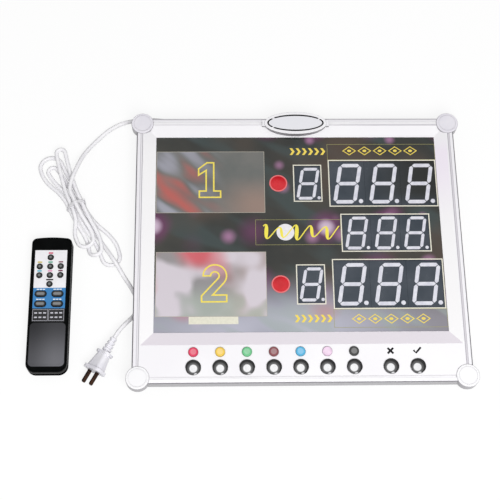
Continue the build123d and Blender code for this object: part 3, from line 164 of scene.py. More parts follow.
class Finish(ShaderNodes):
    """The finish of one kind of surface.

    Its colour drifts between two near shades in clouds, so many to the metre, and its roughness drifts
    a little with it. A fine grain, so many to the metre, stands out by the relief in metres. The
    stretch draws clouds and grain out along an axis where it is below 1. The mirror is how much of the
    usual reflection a surface that isn't metal keeps, with 0.5 for all of it.
    """

    def __init__(
        self, name, shades, clouds, roughness, grain, relief, metallic=0.0, mirror=0.5, stretch=(1, 1, 1)
    ):
        self.material = bpy.data.materials.new(name)
        super().__init__(self.material)
        self.shader = self.tree.nodes["Principled BSDF"].inputs
        self.place = self.put("TexCoord").outputs["Object"]
        drawn = self.put("Mapping", {"Vector": self.place, "Scale": stretch}).outputs[0]
        cloud = self.noise(drawn, clouds, 3.0)
        cloud_edge, cloud_full = 0.35, 0.65
        self.colour = shades[0]
        self.lay(shades[1], self.ramp(cloud, cloud_edge, cloud_full, kind="LINEAR"))
        drift = 0.06
        rough = self.ramp(cloud, 0.0, 1.0, roughness - drift, roughness + drift, "LINEAR")
        pits = self.noise(drawn, grain, 2.0)
        strength = 0.5
        bump = self.put("Bump", {"Height": pits, "Distance": relief, "Strength": strength}).outputs[0]
        self.tree.links.new(rough, self.shader["Roughness"])
        self.tree.links.new(bump, self.shader["Normal"])
        self.shader["Metallic"].default_value = metallic
        self.shader["Specular IOR Level"].default_value = mirror

    def noise(self, vector, scale, detail, roughness=0.5):
        """Noise of that scale to the metre."""
        look = {"Vector": vector, "Scale": scale, "Detail": detail, "Roughness": roughness}
        return self.put("TexNoise", look).outputs["Fac"]

    def times(self, *values):
        """Values multiplied."""
        made = values[0]
        for value in values[1:]:
            made = self.number("MULTIPLY", made, value)
        return made

    def facing(self):
        """The way the surface faces on its piece: Z is 1 where it looks straight up."""
        return self.axes(self.put("TexCoord").outputs["Normal"])

    def mixed(self, below, above, share, kind="MIX"):
        """One colour laid over another: the share is how much of it covers."""
        socket = bpy.types.NodeSocket
        shades = [shade if isinstance(shade, socket) else (*shade, 1) for shade in (below, above)]
        layers = {"Fac": share, "Color1": shades[0], "Color2": shades[1]}
        return self.put("MixRGB", layers, blend_type=kind).outputs[0]

    def wear(self, colour):
        """Makes a colour the surface's own."""
        self.colour = colour
        self.tree.links.new(colour, self.shader["Base Color"])

    def lay(self, shade, share):
        """Lays a shade over the surface's colour."""
        self.wear(self.mixed(self.colour, shade, share))

    def stain(self, shade):
        """Multiplies the surface's colour by a shade."""
        self.wear(self.mixed(shade, self.colour, 1.0, "MULTIPLY"))

    def dress(self, *names):
        """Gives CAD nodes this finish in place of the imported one."""
        for name in names:
            cad[name].data.materials.clear()
            cad[name].data.materials.append(self.material)


white_shades = (0.83, 0.815, 0.845), (0.87, 0.86, 0.88)
white_plastic = Finish("white_plastic", white_shades, 9.0, 0.42, 1400.0, 0.00005)
white_plastic.dress("back_cover", "cord_gland")
zinc_shades = (0.50, 0.50, 0.52), (0.66, 0.66, 0.68)
screw_steel = Finish("zinc_steel", zinc_shades, 500.0, 0.34, 3000.0, 0.00004, metallic=1.0)
screw_steel.dress("case_screws")

# The transformer in the back box: a stack of iron sheets round a coil that is wrapped in yellow
# tape and stands proud of them.
iron_shades = (0.10, 0.095, 0.09), (0.17, 0.15, 0.14)
iron = Finish("iron_sheets", iron_shades, 300.0, 0.5, 900.0, 0.0001, metallic=0.6)
coil_proud = 0.0026
core_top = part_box("transformer")[1][2] - coil_proud
iron.lay((0.62, 0.42, 0.08), iron.number("GREATER_THAN", iron.axes(iron.place)["Z"], core_top))
iron.dress("transformer")

# The circuit boards: glass fibre under green lacquer, with copper tracks that show through it, and
# black moulded switches under the keys.
lacquer_shades = (0.012, 0.10, 0.035), (0.02, 0.15, 0.05)
board_green = Finish("green_lacquer", lacquer_shades, 120.0, 0.28, 900.0, 0.00003)
track_run = {"Scale": 90.0, "Mortar Size": 0.035, "Brick Width": 0.9, "Row Height": 0.35}
tracks = board_green.put("TexBrick", {"Vector": board_green.place, **track_run})
board_green.lay((0.05, 0.24, 0.09), tracks.outputs["Fac"])
board_green.dress("display_board", "key_board", "remote_circuit_board")
switch_shades = (0.015, 0.015, 0.016), (0.03, 0.03, 0.032)
Finish("switch_black", switch_shades, 300.0, 0.45, 2000.0, 0.00006).dress("key_switches")

# The digit modules: blue-black potted blocks, darkened at the upper right by painted shade, with slanted
# seven-segment digits, whose bars of pale lilac resin are flush with the face and parted by thin dark lines.
block_shades = (0.031, 0.042, 0.056), (0.057, 0.068, 0.085)
digit_block = Finish("digit_block", block_shades, 28.0, 0.26, 900.0, 0.00003, mirror=0.35)
spot = digit_block.axes(digit_block.place)
right, upper = digit_block.ramp(spot["X"], 0.06, 0.17), digit_block.ramp(spot["Y"], 0.05, 0.08, 0.0, 0.9)
# Painted shade: the blocks are darkened towards the upper right.
digit_block.lay((0.013, 0.014, 0.011), digit_block.times(right, upper))
digit_block.dress("score_digits", "small_digits")
segment_shades = (0.60, 0.60, 0.68), (0.72, 0.72, 0.78)
segment_resin = Finish("segment_resin", segment_shades, 160.0, 0.38, 2500.0, 0.00004)
segment_resin.dress("score_segments", "small_segments")

# The display panel: one acrylic sheet printed from the back in a dark olive grey, with blurred violet and
# pink lights scattered over it. The pale haze along its lower edge is a painted reflection.


def lights(finish, scale, reach, chance):
    """Soft round lights in some of a pattern's cells, so many cells to the metre: 1 in their middles.

    Each cell's own number sets how bright and how large its light is, and it fades out before the cell ends.
    """
    pattern = {"Vector": finish.place, "Scale": scale, "Randomness": 0.55}
    cells = finish.put("TexVoronoi", pattern, voronoi_dimensions="2D").outputs
    edge = finish.put("TexVoronoi", pattern, voronoi_dimensions="2D", feature="DISTANCE_TO_EDGE").outputs
    own = finish.put("SeparateColor", {0: cells["Color"]}).outputs
    size = finish.ramp(own[1], 0.0, 1.0, reach * 0.55, reach)
    near = finish.number("DIVIDE", cells["Distance"], size)
    bright = finish.ramp(own[0], 1 - chance, 1.15 - chance)
    return finish.times(finish.ramp(near, 1.0, 0.0), bright, finish.ramp(edge["Distance"], 0.0, 0.14))


def streaks(finish, lean, length, scale, detail):
    """Noise drawn out to so many times its width, along a line that leans by the angle in radians."""
    turned = {"Vector": finish.place, "Rotation": (0, 0, lean), "Scale": (length, 1, 1)}
    return finish.noise(finish.put("Mapping", turned, vector_type="TEXTURE").outputs[0], scale, detail)


panel_shades = (0.022, 0.024, 0.022), (0.043, 0.042, 0.036)
panel = Finish("panel_print", panel_shades, 14.0, 0.16, 700.0, 0.00002, mirror=0.35)
spot = panel.axes(panel.place)
drift = panel.noise(panel.place, 7.0, 2.0)
streak = streaks(panel, -0.5, 3.2, 34.0, 1.0)
panel.lay((0.042, 0.060, 0.060), panel.ramp(streak, 0.46, 0.68, 0.0, 0.8))
panel.lay((0.085, 0.055, 0.040), panel.ramp(drift, 0.50, 0.66, 0.0, 0.65))
wide = lights(panel, 13.0, 0.47, 0.66)
panel.lay((0.17, 0.035, 0.13), panel.times(wide, 0.95))
panel.lay((0.62, 0.50, 0.62), panel.ramp(wide, 0.55, 1.05, 0.0, 0.9))
panel.lay((0.42, 0.20, 0.36), panel.times(lights(panel, 27.0, 0.42, 0.42), 0.7))
# Painted reflection: a pale haze over the lower part of the panel, strongest at the left and in patches.
reflection_towards_left = panel.ramp(spot["X"], 0.19, -0.01, 0.45, 1.0)
patchy_reflection = panel.ramp(drift, 0.3, 0.6, 0.72, 1.0)
panel.lay((0.44, 0.44, 0.52), panel.times(panel.ramp(spot["Y"], -0.030, -0.108), reflection_towards_left, patchy_reflection))
low_streaks = panel.times(panel.ramp(streak, 0.54, 0.68), panel.ramp(spot["Y"], -0.055, -0.10), 0.5)
panel.lay((0.30, 0.36, 0.33), low_streaks)
warm = panel.times(lights(panel, 11.0, 0.52, 0.6), panel.ramp(spot["Y"], -0.070, -0.105), 0.85)
panel.lay((0.55, 0.10, 0.13), warm)
panel.dress("display_panel")

# The name plates: two bare grey translucent panes printed over the lights, with reddish streaks in
# the upper one and pale clouds of painted reflection in the lower one. All print is worked out in
# millimetres.


def band(outer, inner, low, high, closed=True):
    """Corners and faces of a flat band between two rows of as many points.

    Both rows are laid at both heights, and walls of one face a step join them: top, bottom, inner and outer
    side. A band that isn't closed has a wall at both ends too.
    """
    count = len(outer)
    flat = np.concatenate([outer, inner])
    corners = np.concatenate([np.column_stack([flat, np.full(2 * count, height)]) for height in (low, high)])
    at = np.arange(count)
    after = np.roll(at, -1)
    if not closed:
        at, after = at[:-1], after[:-1]
    # Which of the four rows each face takes its corners from: for the top, the bottom, the outer side
    # and the inner side.
    faces = [
        np.stack([at + a, after + b, after + c, at + d], axis=1)
        for a, b, c, d in (
            (2 * count, 2 * count, 3 * count, 3 * count),
            (count, count, 0, 0),
            (0, 0, 2 * count, 2 * count),
            (3 * count, 3 * count, count, count),
        )
    ]
    if not closed:
        end = count - 1
        ends = [0, 2 * count, 3 * count, count], [end + count, end + 3 * count, end + 2 * count, end]
        faces.append(np.array(ends))
    return corners, np.concatenate(faces)


def rectangle(left, right, low, high):
    """Corners of a rectangle, anticlockwise."""
    return np.array([(left, low), (right, low), (right, high), (left, high)])


def patch(corners, low, high):
    """A flat patch inside a row of corners, from one height to another: a band that closes on its middle."""
    middle = np.mean(corners, axis=0)
    almost_closed = 0.001
    return band(corners, middle + (corners - middle) * almost_closed, low, high)


def new_piece(name, mesh, finish, body):
    """Puts a mesh in the scene in one finish. It rides on a body."""
    mesh.materials.append(finish.material)
    made = bpy.data.objects.new(name, mesh)
    bpy.context.scene.collection.objects.link(made)
    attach(made, body)
    return made


def flat_piece(name, bands, finish, inks=None, body="case"):
    """A piece of one or more bands given in millimetres, each in its own ink."""
    millimetre = 0.001
    corners = np.concatenate([made[0] for made in bands]) * millimetre
    counts = [len(made[0]) for made in bands]
    starts = np.cumsum([0] + counts)
    faces = np.concatenate([made[1] + start for made, start in zip(bands, starts)])
    mesh = bpy.data.meshes.new(name)
    mesh.from_pydata(corners.tolist(), [], faces.tolist())
    if inks:
        printed = mesh.color_attributes.new("ink", "FLOAT_COLOR", "POINT")
        shades = np.repeat([(*shade, 1.0) for shade in inks], counts, axis=0)
        printed.data.foreach_set("color", shades.ravel())
    return new_piece(name, mesh, finish, body)


panel_top = 27.0
plate_top = panel_top + 0.05
# The left, right, lower and upper edge of each plate, as later of each window, box and strip.
plate_edges = (-185.7, -42.7, 47.3, 135.8), (-184.8, -42.8, -94.7, -7.2)
plate_shades = (0.115, 0.125, 0.12), (0.17, 0.165, 0.155)
plate = Finish("name_plate", plate_shades, 16.0, 0.22, 700.0, 0.00002, mirror=0.35)
spot = plate.axes(plate.place)
streak = streaks(plate, -0.72, 3.4, 62.0, 0.5)
upper, lower = plate.ramp(spot["Y"], 0.015, 0.025), plate.ramp(spot["Y"], 0.015, 0.005)
upper_left = plate.times(plate.ramp(spot["X"], -0.090, -0.150), upper)
plate.lay((0.44, 0.11, 0.095), plate.times(plate.ramp(streak, 0.42, 0.80), upper_left))
plate.lay((0.34, 0.34, 0.40), plate.times(plate.ramp(streak, 0.52, 0.24), upper_left, 0.9))
brown = plate.times(plate.ramp(spot["X"], -0.115, -0.055), plate.ramp(spot["Y"], 0.105, 0.06), 0.6)
plate.lay((0.36, 0.23, 0.18), brown)
cloud = plate.noise(plate.place, 26.0, 1.0, 0.4)
# Painted reflection: pale clouds that brighten the lower plate.
plate.lay((0.60, 0.55, 0.60), plate.times(lower, plate.ramp(cloud, 0.36, 0.58, 0.25, 1.0)))
blush = plate.ramp(plate.noise(plate.place, 19.0, 0.0), 0.48, 0.74)
plate.lay((0.58, 0.10, 0.12), plate.times(lower, blush, plate.ramp(spot["X"], -0.06, -0.11), 0.95))
green = plate.times(lower, plate.ramp(cloud, 0.56, 0.40), plate.ramp(spot["Y"], -0.045, -0.08), 0.6)
plate.lay((0.40, 0.46, 0.40), green)
plates = [patch(rectangle(*edges), panel_top, plate_top) for edges in plate_edges]
flat_piece("name_plates", plates, plate)

# The printing: screen-printed ink, a little proud of the sheet. Cream lines go round the windows and
# thin olive ones round three boxes, with rows of yellow chevrons and lozenges, a white disc under a
# yellow flourish, and a bare cream strip.


def frame_line(edges, width, top):
    """A line of that width along a rectangle's edges, inside it."""
    left, right, low, high = edges
    inside = rectangle(left + width, right - width, low + width, high - width)
    return band(rectangle(*edges), inside, panel_top, top)


def ring(x, y, half_x, half_y, width, base, top, start=0.0, end=360.0):
    """An elliptical line, or part of it between two angles in degrees.

    A point on it is the middle plus the cosine times half_x and the sine times half_y. Its inner side is
    smaller by the width both ways.
    """
    whole = end - start >= 360
    angles = np.radians(np.linspace(start, end, 49)[: -1 if whole else None])
    line = np.column_stack([np.cos(angles), np.sin(angles)])
    middle = np.array([x, y])
    outer, inner = line * (half_x, half_y), line * (half_x - width, half_y - width)
    return band(middle + outer, middle + inner, base, top, whole)


def stroke(points, half, base, top):
    """A pen stroke along points: at each, half its width to both sides, square to the way it runs."""
    run = np.gradient(points, axis=0)
    run /= np.linalg.norm(run, axis=1, keepdims=True)
    side = np.column_stack([run[:, 1], -run[:, 0]]) * np.reshape(half, (-1, 1))
    return band(points + side, points - side, base, top, False)


cream = (0.79, 0.76, 0.65)
olive = (0.34, 0.32, 0.13)
brown_cream = (0.45, 0.42, 0.36)
yellow = (0.85, 0.66, 0.12)
bright_yellow = (0.88, 0.76, 0.10)
disc_white = (0.80, 0.78, 0.80)
strip_cream = (0.74, 0.72, 0.60)
window_line = 1.4
box_line = 0.5
plate_line = 0.6
line_top = plate_top + 0.02
strip_top = plate_top + 0.03
pen_top = plate_top + 0.04
windows = (
    (42.0, 186.0, 55.6, 123.2),
    (55.6, 172.7, -7.9, 45.4),
    (42.0, 185.6, -85.6, -17.8),
    (-4.8, 33.1, 62.8, 116.3),
    (-4.7, 32.8, -79.3, -25.0),
)
boxes = (41.6, 186.5, 123.2, 146.5), (41.6, 186.5, -110.3, -85.6), (-56.0, 55.6, 2.0, 37.5)
prints = [(frame_line(edges, window_line, plate_top), cream) for edges in windows]
prints += [(frame_line(edges, box_line, plate_top), olive) for edges in boxes]
prints += [(frame_line(edges, plate_line, line_top), brown_cream) for edges in plate_edges]
disc_x, row_y, disc_r = -17.0, 19.8, 11.6
prints.append((ring(disc_x, row_y, disc_r, disc_r, disc_r - 0.1, panel_top, line_top), disc_white))
lozenge = np.array([(9.3, 0.0), (0.0, 6.6), (-9.3, 0.0), (0.0, -6.6)])
lozenge_pitch = 20.5
lozenge_hollow = 0.8
eye_half_x, eye_half_y, eye_line = 2.6, 1.8, 1.7
for row_middle in ((112.4, 136.6), (114.5, -98.8)):
    for step in (-2, -1, 0, 1, 2):
        middle = np.array(row_middle) + (lozenge_pitch * step, 0)
        hollow = lozenge * lozenge_hollow + middle
        prints.append((band(lozenge + middle, hollow, panel_top, plate_top), yellow))
        prints.append((ring(*middle, eye_half_x, eye_half_y, eye_line, panel_top, line_top), yellow))
chevron = np.array([(0.0, -5.0), (3.4, 0.0), (0.0, 5.0)])
chevron_pitch = 8.2
chevron_width = 3.4
for row_start in ((-8.5, 135.7), (-8.0, -98.0)):
    for step in range(6):
        arm = chevron + row_start + (chevron_pitch * step, 0)
        prints.append((band(arm + (chevron_width, 0), arm, panel_top, plate_top, False), yellow))
# The flourish is five waves of a sine that leans to the right and swells at its ends and its middle,
# drawn with a pen that is wide on the way down.
flourish_left, flourish_length = -49.0, 99.0
wave_height, wave_shift, wave_lean = 10.8, 0.9, 0.38
pen_thin, pen_swell, steepest = 0.75, 1.75, 1.25
share = np.linspace(0, 1, 261)
swell = 0.80 + 0.20 * np.cos(share * 4 * math.pi)
wave = wave_height * np.sin(share * 10 * math.pi + wave_shift) * swell
flourish = np.column_stack([flourish_left + flourish_length * share + wave_lean * wave, row_y + wave])
pen = pen_thin + pen_swell * np.clip(-np.gradient(wave) / steepest, 0, 1)
prints.append((stroke(flourish, pen, panel_top, pen_top), bright_yellow))
bare_strip = rectangle(-142.3, -79.5, -104.7, -94.9)
prints.append((patch(bare_strip, panel_top, strip_top), strip_cream))
ink_worn = (0.92, 0.92, 0.92), (1.0, 1.0, 1.0)
ink = Finish("printing_ink", ink_worn, 300.0, 0.34, 2500.0, 0.00002, mirror=0.15)
ink.stain(ink.put("Attribute", attribute_name="ink").outputs["Color"])
print_bands, print_inks = zip(*prints)
flat_piece("printing", print_bands, ink, print_inks)

# The numerals: a plain 1 and a plain 2 in outline, one on each name plate, in the same screen-printed
# ink as the rest.


def outline(corners, width, base, top):
    """A mitred line of that width along a closed row of corners.

    At each corner it reaches out and in by half the width over the cosine of half the turn.
    """
    run = np.roll(corners, -1, axis=0) - corners
    run /= np.linalg.norm(run, axis=1, keepdims=True)
    side = np.column_stack([run[:, 1], -run[:, 0]])
    before = np.roll(side, 1, axis=0)
    mitre = (side + before) / (1 + np.sum(side * before, axis=1, keepdims=True))
    return band(corners + mitre * width / 2, corners - mitre * width / 2, base, top)


def arc(x, y, radius, start, end):
    """Points round a circle between two angles in degrees: the middle plus radius times cosine and sine."""
    angles = np.radians(np.linspace(start, end, 19))
    return np.column_stack([x + radius * np.cos(angles), y + radius * np.sin(angles)])


foot = [(-14, -25), (14, -25), (14, -16), (5, -16)]
stem = [(5, 25), (-4, 25), (-15, 16), (-15, 7), (-5, 14), (-5, -16), (-14, -16)]
one_middle = (-115, 94.5)
numeral_one = np.array(foot + stem, float) + one_middle
base_line = [(-16, -25), (16, -25), (16, -16), (-2, -16)]
bow_outside, bow_inside = arc(1, 10, 15, -38, 180), arc(1, 10, 5.5, 180, -38)
two_middle = (-110, -50.0)
numeral_two = np.concatenate([base_line, bow_outside, bow_inside, [(-16, -17)]]) + two_middle
numeral_line = 2.0
numeral_top = plate_top + 0.05
numeral_yellow = (0.86, 0.70, 0.12)
numerals = [outline(corners, numeral_line, panel_top, numeral_top) for corners in (numeral_one, numeral_two)]
flat_piece("numerals", numerals, ink, [numeral_yellow] * 2)

# The indicator lenses: two domes moulded in red, pressed into the panel beside the single digits,
# each with a paler frosted rim.


def nearest(finish, middles):
    """How far it is, seen from the front, to the nearest of several points."""
    flat = finish.vector("MULTIPLY", finish.place, (1, 1, 0))
    least = 1.0
    for x, y in middles:
        least = finish.number("MINIMUM", finish.vector("DISTANCE", flat, (x, y, 0)), least)
    return least


lens_red = Finish("red_lens", ((0.50, 0.005, 0.012), (0.62, 0.010, 0.02)), 60.0, 0.2, 700.0, 0.00003)
low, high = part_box("indicator_lenses")
lens_r = (high[0] - low[0]) / 2
lens_middles = [(low[0] + lens_r, y) for y in (low[1] + lens_r, high[1] - lens_r)]
rim_start, rim_full = 0.0100, 0.0106
lens_red.lay((0.74, 0.16, 0.17), lens_red.ramp(nearest(lens_red, lens_middles), rim_start, rim_full))
lens_red.dress("indicator_lenses")

# The bezel: one white moulding with a flat rim and key strip, which slopes down to the panel. The
# rim has a faint painted shade line near its top edge, and the slopes painted lilac shade below and at the
# upper right.
bezel = Finish("bezel_plastic", white_shades, 9.0, 0.42, 1400.0, 0.00005)
spot = bezel.axes(bezel.place)
facing = bezel.facing()
slopes = bezel.times(bezel.ramp(facing["Z"], 0.985, 0.965), bezel.ramp(spot["Y"], 0.158, 0.130))
upper_right = bezel.times(bezel.ramp(spot["Y"], 0.02, 0.12), bezel.ramp(spot["X"], 0.10, 0.18))
# Painted shade: the slopes are painted a shade of their own, lilac towards the upper right.
bezel.lay(bezel.mixed((0.885, 0.875, 0.885), (0.845, 0.785, 0.87), upper_right), slopes)
# Painted shade: the lower slope, which faces towards the board's top, is painted a darker lilac.
bezel.lay((0.79, 0.735, 0.80), bezel.times(slopes, bezel.ramp(facing["Y"], 0.05, 0.20, 0.0, 0.85)))
# Painted shade: a faint grey line along the rim just inside its top edge, stronger towards the right.
shade_line_low, shade_line_high, shade_line_fade = 0.1712, 0.1734, 0.0006
shade_line_below = bezel.ramp(spot["Y"], shade_line_low, shade_line_low + shade_line_fade)
shade_line_above = bezel.ramp(spot["Y"], shade_line_high, shade_line_high - shade_line_fade)
shade_line = bezel.times(shade_line_below, shade_line_above, bezel.ramp(spot["X"], 0.0, 0.12, 0.35, 1.0))
bezel.lay((0.52, 0.50, 0.54), shade_line)
bezel.dress("front_bezel")

# The channel strip: soft pale strips pressed into the channel between bezel and rails. Those at the
# sides are painted grey as shade, and a painted shadow line runs where those at the sides and the bottom
# meet the bezel.
strip = Finish("channel_strip", ((0.84, 0.83, 0.85), (0.88, 0.87, 0.89)), 60.0, 0.5, 1800.0, 0.00005)
spot = strip.axes(strip.place)
beside = strip.number("ABSOLUTE", spot["X"])
on_sides = strip.ramp(beside, 0.200, 0.203)
# Painted shade: the side strips are grey, the right one all over and the left one on its outer half.
grey_shade = strip.number("MAXIMUM", strip.ramp(beside, 0.2056, 0.2064), strip.ramp(spot["X"], -0.1, 0.1))
strip.lay((0.62, 0.60, 0.64), strip.times(grey_shade, on_sides))
# Painted shadow: a dark line along the strips' inner edges, beside the bezel.
side_shadow_line = strip.times(strip.ramp(beside, 0.2054, 0.2046), on_sides)
on_bottom = strip.ramp(spot["Y"], -0.170, -0.173)
low_shadow_line = strip.times(strip.ramp(spot["Y"], -0.1758, -0.1748, 0.0, 0.4), on_bottom)
strip.lay((0.38, 0.36, 0.40), strip.number("MAXIMUM", side_shadow_line, low_shadow_line))
channel_floor, channel_face = 29.6, 32.4
strip_edges = (
    (-190.2, -45.0, 174.05, 177.15),
    (45.0, 190.2, 174.05, 177.15),
    (-190.2, 190.2, -177.15, -174.05),
    (-207.15, -204.05, -160.2, 160.2),
    (204.05, 207.15, -160.2, 160.2),
)
strips = [patch(rectangle(*edges), channel_floor, channel_face) for edges in strip_edges]
flat_piece("channel_strip", strips, strip)

# The frame: four rails drawn in silver-white metal, with painted shade on their rounded edges, which look
# dark from above, and on their upright sides, mitred under four round plastic caps, whose tongues hold them
# together.


def shade_edges(finish, dark, side, start, end):
    """Paints shade on a finish where the surface turns away from straight up. Upright sides get painted shade
    too.
    """
    up = finish.facing()["Z"]
    finish.lay(dark, finish.ramp(up, start, end))
    side_start, side_full = 0.40, 0.15
    finish.lay(side, finish.ramp(up, side_start, side_full))


rail_side_shade = (0.44, 0.43, 0.45)
drawn_metal = {"clouds": 40.0, "roughness": 0.30, "grain": 900.0, "relief": 0.00003, "metallic": 0.1}
up_shades = (0.82, 0.80, 0.84), (0.87, 0.86, 0.89)
rail_up = Finish("silver_rail_up", up_shades, **drawn_metal, stretch=(1, 0.05, 1))
# Painted shade: a dark line along the right rail's outer edge.
right_edge_shade = rail_up.ramp(rail_up.axes(rail_up.place)["X"], 0.2106, 0.2114, 0.0, 0.9)
rail_up.lay((0.12, 0.11, 0.13), right_edge_shade)
# Painted shade: the side rails' rounded edges are painted dark, and their upright sides grey.
shade_edges(rail_up, (0.09, 0.08, 0.10), rail_side_shade, 0.97, 0.80)
rail_up.dress("left_rail", "right_rail")
across_shades = (0.88, 0.865, 0.90), (0.92, 0.91, 0.935)
rail_across = Finish("silver_rail_across", across_shades, **drawn_metal, stretch=(0.05, 1, 1))
# Painted shade: the top rail is painted greyer towards its outer edge.
top_edge_shade = rail_across.ramp(rail_across.axes(rail_across.place)["Y"], 0.1776, 0.1814)
rail_across.lay((0.62, 0.60, 0.64), top_edge_shade)
# Painted shade: the top and bottom rails' rounded edges are painted dark, and their upright sides grey.
shade_edges(rail_across, (0.22, 0.21, 0.23), rail_side_shade, 0.92, 0.70)
rail_across.dress("top_rail", "bottom_rail")
caps = Finish("cap_plastic", ((0.74, 0.72, 0.78), (0.80, 0.78, 0.83)), 45.0, 0.34, 1500.0, 0.00004)
# Painted shade: the caps are painted paler towards the board's lower edge and darker at the top, and shaded
# at their edges.
caps.lay((0.86, 0.855, 0.87), caps.ramp(caps.axes(caps.place)["Y"], 0.10, -0.10))
shade_edges(caps, (0.30, 0.28, 0.32), (0.46, 0.45, 0.47), 0.80, 0.3)
caps.dress("corner_caps")

# The keys: nine chromed domes that come up through the lower strip. Above seven of them a glossy dot
# in a colour of its own is pressed in, and above the last two a plain black sign is printed.
chrome_shades = (0.86, 0.86, 0.88), (0.93, 0.93, 0.94)
chrome = Finish("key_chrome", chrome_shades, 120.0, 0.09, 900.0, 0.000002, metallic=1.0)
dot_shades = {
    "red": (0.74, 0.05, 0.12),
    "yellow": (0.86, 0.58, 0.08),
    "green": (0.16, 0.56, 0.26),
    "brown": (0.26, 0.075, 0.085),
    "blue": (0.10, 0.46, 0.74),
    "pink": (0.84, 0.62, 0.80),
    "black": (0.045, 0.045, 0.045),
}
chrome.dress(*[name + "_key" for name in (*dot_shades, "cancel", "confirm")])
dots = Finish("dot_colours", ((0.88, 0.88, 0.88), (1, 1, 1)), 150.0, 0.22, 900.0, 0.00003)
low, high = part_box("colour_dots")
dot_count = len(dot_shades)
dot_d = high[1] - low[1]
dot_pitch = (high[0] - low[0] - dot_d) / (dot_count - 1)
dots_start, dots_end = low[0] + (dot_d - dot_pitch) / 2, high[0] + (dot_pitch - dot_d) / 2
along = dots.ramp(dots.axes(dots.place)["X"], dots_start, dots_end, kind="LINEAR")
palette = dots.put("ValToRGB", {"Fac": along})
palette.color_ramp.interpolation = "CONSTANT"
for k, shade in enumerate(dot_shades.values()):
    stop = palette.color_ramp.elements[0] if k == 0 else palette.color_ramp.elements.new(k / dot_count)
    stop.color = (*shade, 1)
palette.color_ramp.elements.remove(palette.color_ramp.elements[-1])
dots.stain(palette.outputs[0])
dot_y = (low[1] + high[1]) / 2
dot_middles = [(low[0] + dot_d / 2 + dot_pitch * k, dot_y) for k in range(dot_count)]
out = nearest(dots, dot_middles)
# Painted shade and highlight: each dome is painted darker round its rim and paler in its middle.
dots.lay((0.03, 0.03, 0.03), dots.ramp(out, 0.0050, 0.0064, 0.0, 0.45))
dots.lay((0.95, 0.95, 0.95), dots.ramp(out, 0.0040, 0.0034, 0.0, 0.15))
dots.dress("colour_dots")
sign_black = (0.012, 0.012, 0.014)
sign_base, sign_y = 33.0, -142.5
sign_top = sign_base + 0.05
cancel_x, confirm_x = 109.9, 143.4
cross_pen, tick_pen = [1.3] * 2, [1.25] * 3
cross = np.array([(-3.6, -3.6), (3.6, 3.6)])
tick = np.array([(-4.6, 0.6), (-1.6, -2.9), (4.8, 4.2)])
signs = [
    stroke(cross + (cancel_x, sign_y), cross_pen, sign_base, sign_top),
    stroke(cross * (1, -1) + (cancel_x, sign_y), cross_pen, sign_base, sign_top + 0.01),
    stroke(tick + (confirm_x, sign_y), tick_pen, sign_base, sign_top),
]
flat_piece("key_signs", signs, ink, [sign_black] * 3)

# The badge: a bare white moulded oval clipped over the top rail, with a greyer field inside a
# printed black ring that is broken in three places.


def middle_of(box):
    """The middle of a box: half the sum of its lowest and its highest corner."""
    low, high = box
    return tuple((a + b) / 2 for a, b in zip(low, high))


badge_shades = (0.83, 0.82, 0.85), (0.88, 0.87, 0.89)
badge = Finish("badge_plastic", badge_shades, 40.0, 0.30, 1400.0, 0.00003)
badge_middle = middle_of(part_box("oval_badge"))
field_half_x, field_half_y = 0.037, 0.0114
out = badge.vector("SUBTRACT", badge.place, badge_middle)
out = badge.vector("LENGTH", badge.vector("MULTIPLY", out, (1 / field_half_x, 1 / field_half_y, 0.0)))
badge.lay((0.77, 0.77, 0.81), badge.ramp(out, 1.0, 0.93))
badge_edge_shade = (0.27, 0.26, 0.28)
# Painted shade: the badge's rounded edges and upright sides are painted grey.
shade_edges(badge, badge_edge_shade, badge_edge_shade, 0.86, 0.35)
badge.dress("oval_badge")
millimetres = 1000
badge_x, badge_y = badge_middle[0] * millimetres, badge_middle[1] * millimetres
ring_half_x, ring_half_y, ring_line = 38.0, 12.4, 2.2
ring_base, ring_top = 35.6, 36.04
ring_ends = (34, 139), (148, 212), (218, 387)
ring_arcs = [
    ring(badge_x, badge_y, ring_half_x, ring_half_y, ring_line, ring_base, ring_top, start, end)
    for start, end in ring_ends
]
flat_piece("badge_ring", ring_arcs, ink, [sign_black] * 3)

# The mains cord: one white round cable, from the gland in the back box to the plug. It is
# folded into six loops of unlike size, drawn together by a tie, and lies loose on the table.
cord_d = 0.0055
waist = Vector((-0.2925, 0.0665, 0.0))
waist_lean = 25.0
waist_half = 0.004
table_z = cord_d / 2
bridge_z = table_z + 0.00635
waist_low = table_z + 0.0016
waist_mid = waist_low + 0.0061
waist_top = waist_mid + 0.0061
lead_side = 0.0005
tail_side = 0.0031
# Each loop: above (1) or below (-1) the waist, its reach from it, its lean and its bend's lean in
# degrees, half its width, place and height at the waist where the cord comes in, heights along
# the bend, place and height where it goes back.
loops = [
    (-1, 0.061, 16, 20, 0.011, lead_side, waist_top, bridge_z, bridge_z, bridge_z, -0.0055, waist_mid),
    (1, 0.085, 17, 13, 0.006, -0.0055, waist_mid, bridge_z, bridge_z, bridge_z, 0.0085, waist_mid),
    (-1, 0.076, 24, 10, 0.0085, 0.0085, waist_mid, bridge_z, bridge_z, table_z, -0.0094, waist_low),
    (1, 0.082, 32, 24, 0.015, -0.0094, waist_low, table_z, table_z, table_z, 0.0094, waist_low),
    (-1, 0.097, 34, 19, 0.012, 0.0094, waist_low, table_z, table_z, table_z, -0.0031, waist_low),
    (1, 0.067, 33, 34, 0.0068, -0.0031, waist_low, table_z, table_z, table_z, tail_side, waist_low),
]


def heading(angle, side):
    """Unit direction that leans by the angle from the board's top edge, up (1) or down (-1)."""
    return Vector((-math.sin(math.radians(angle)), math.cos(math.radians(angle)), 0)) * side


def across(direction):
    """The direction turned a quarter to the right, on the table."""
    return Vector((direction.y, -direction.x, 0))


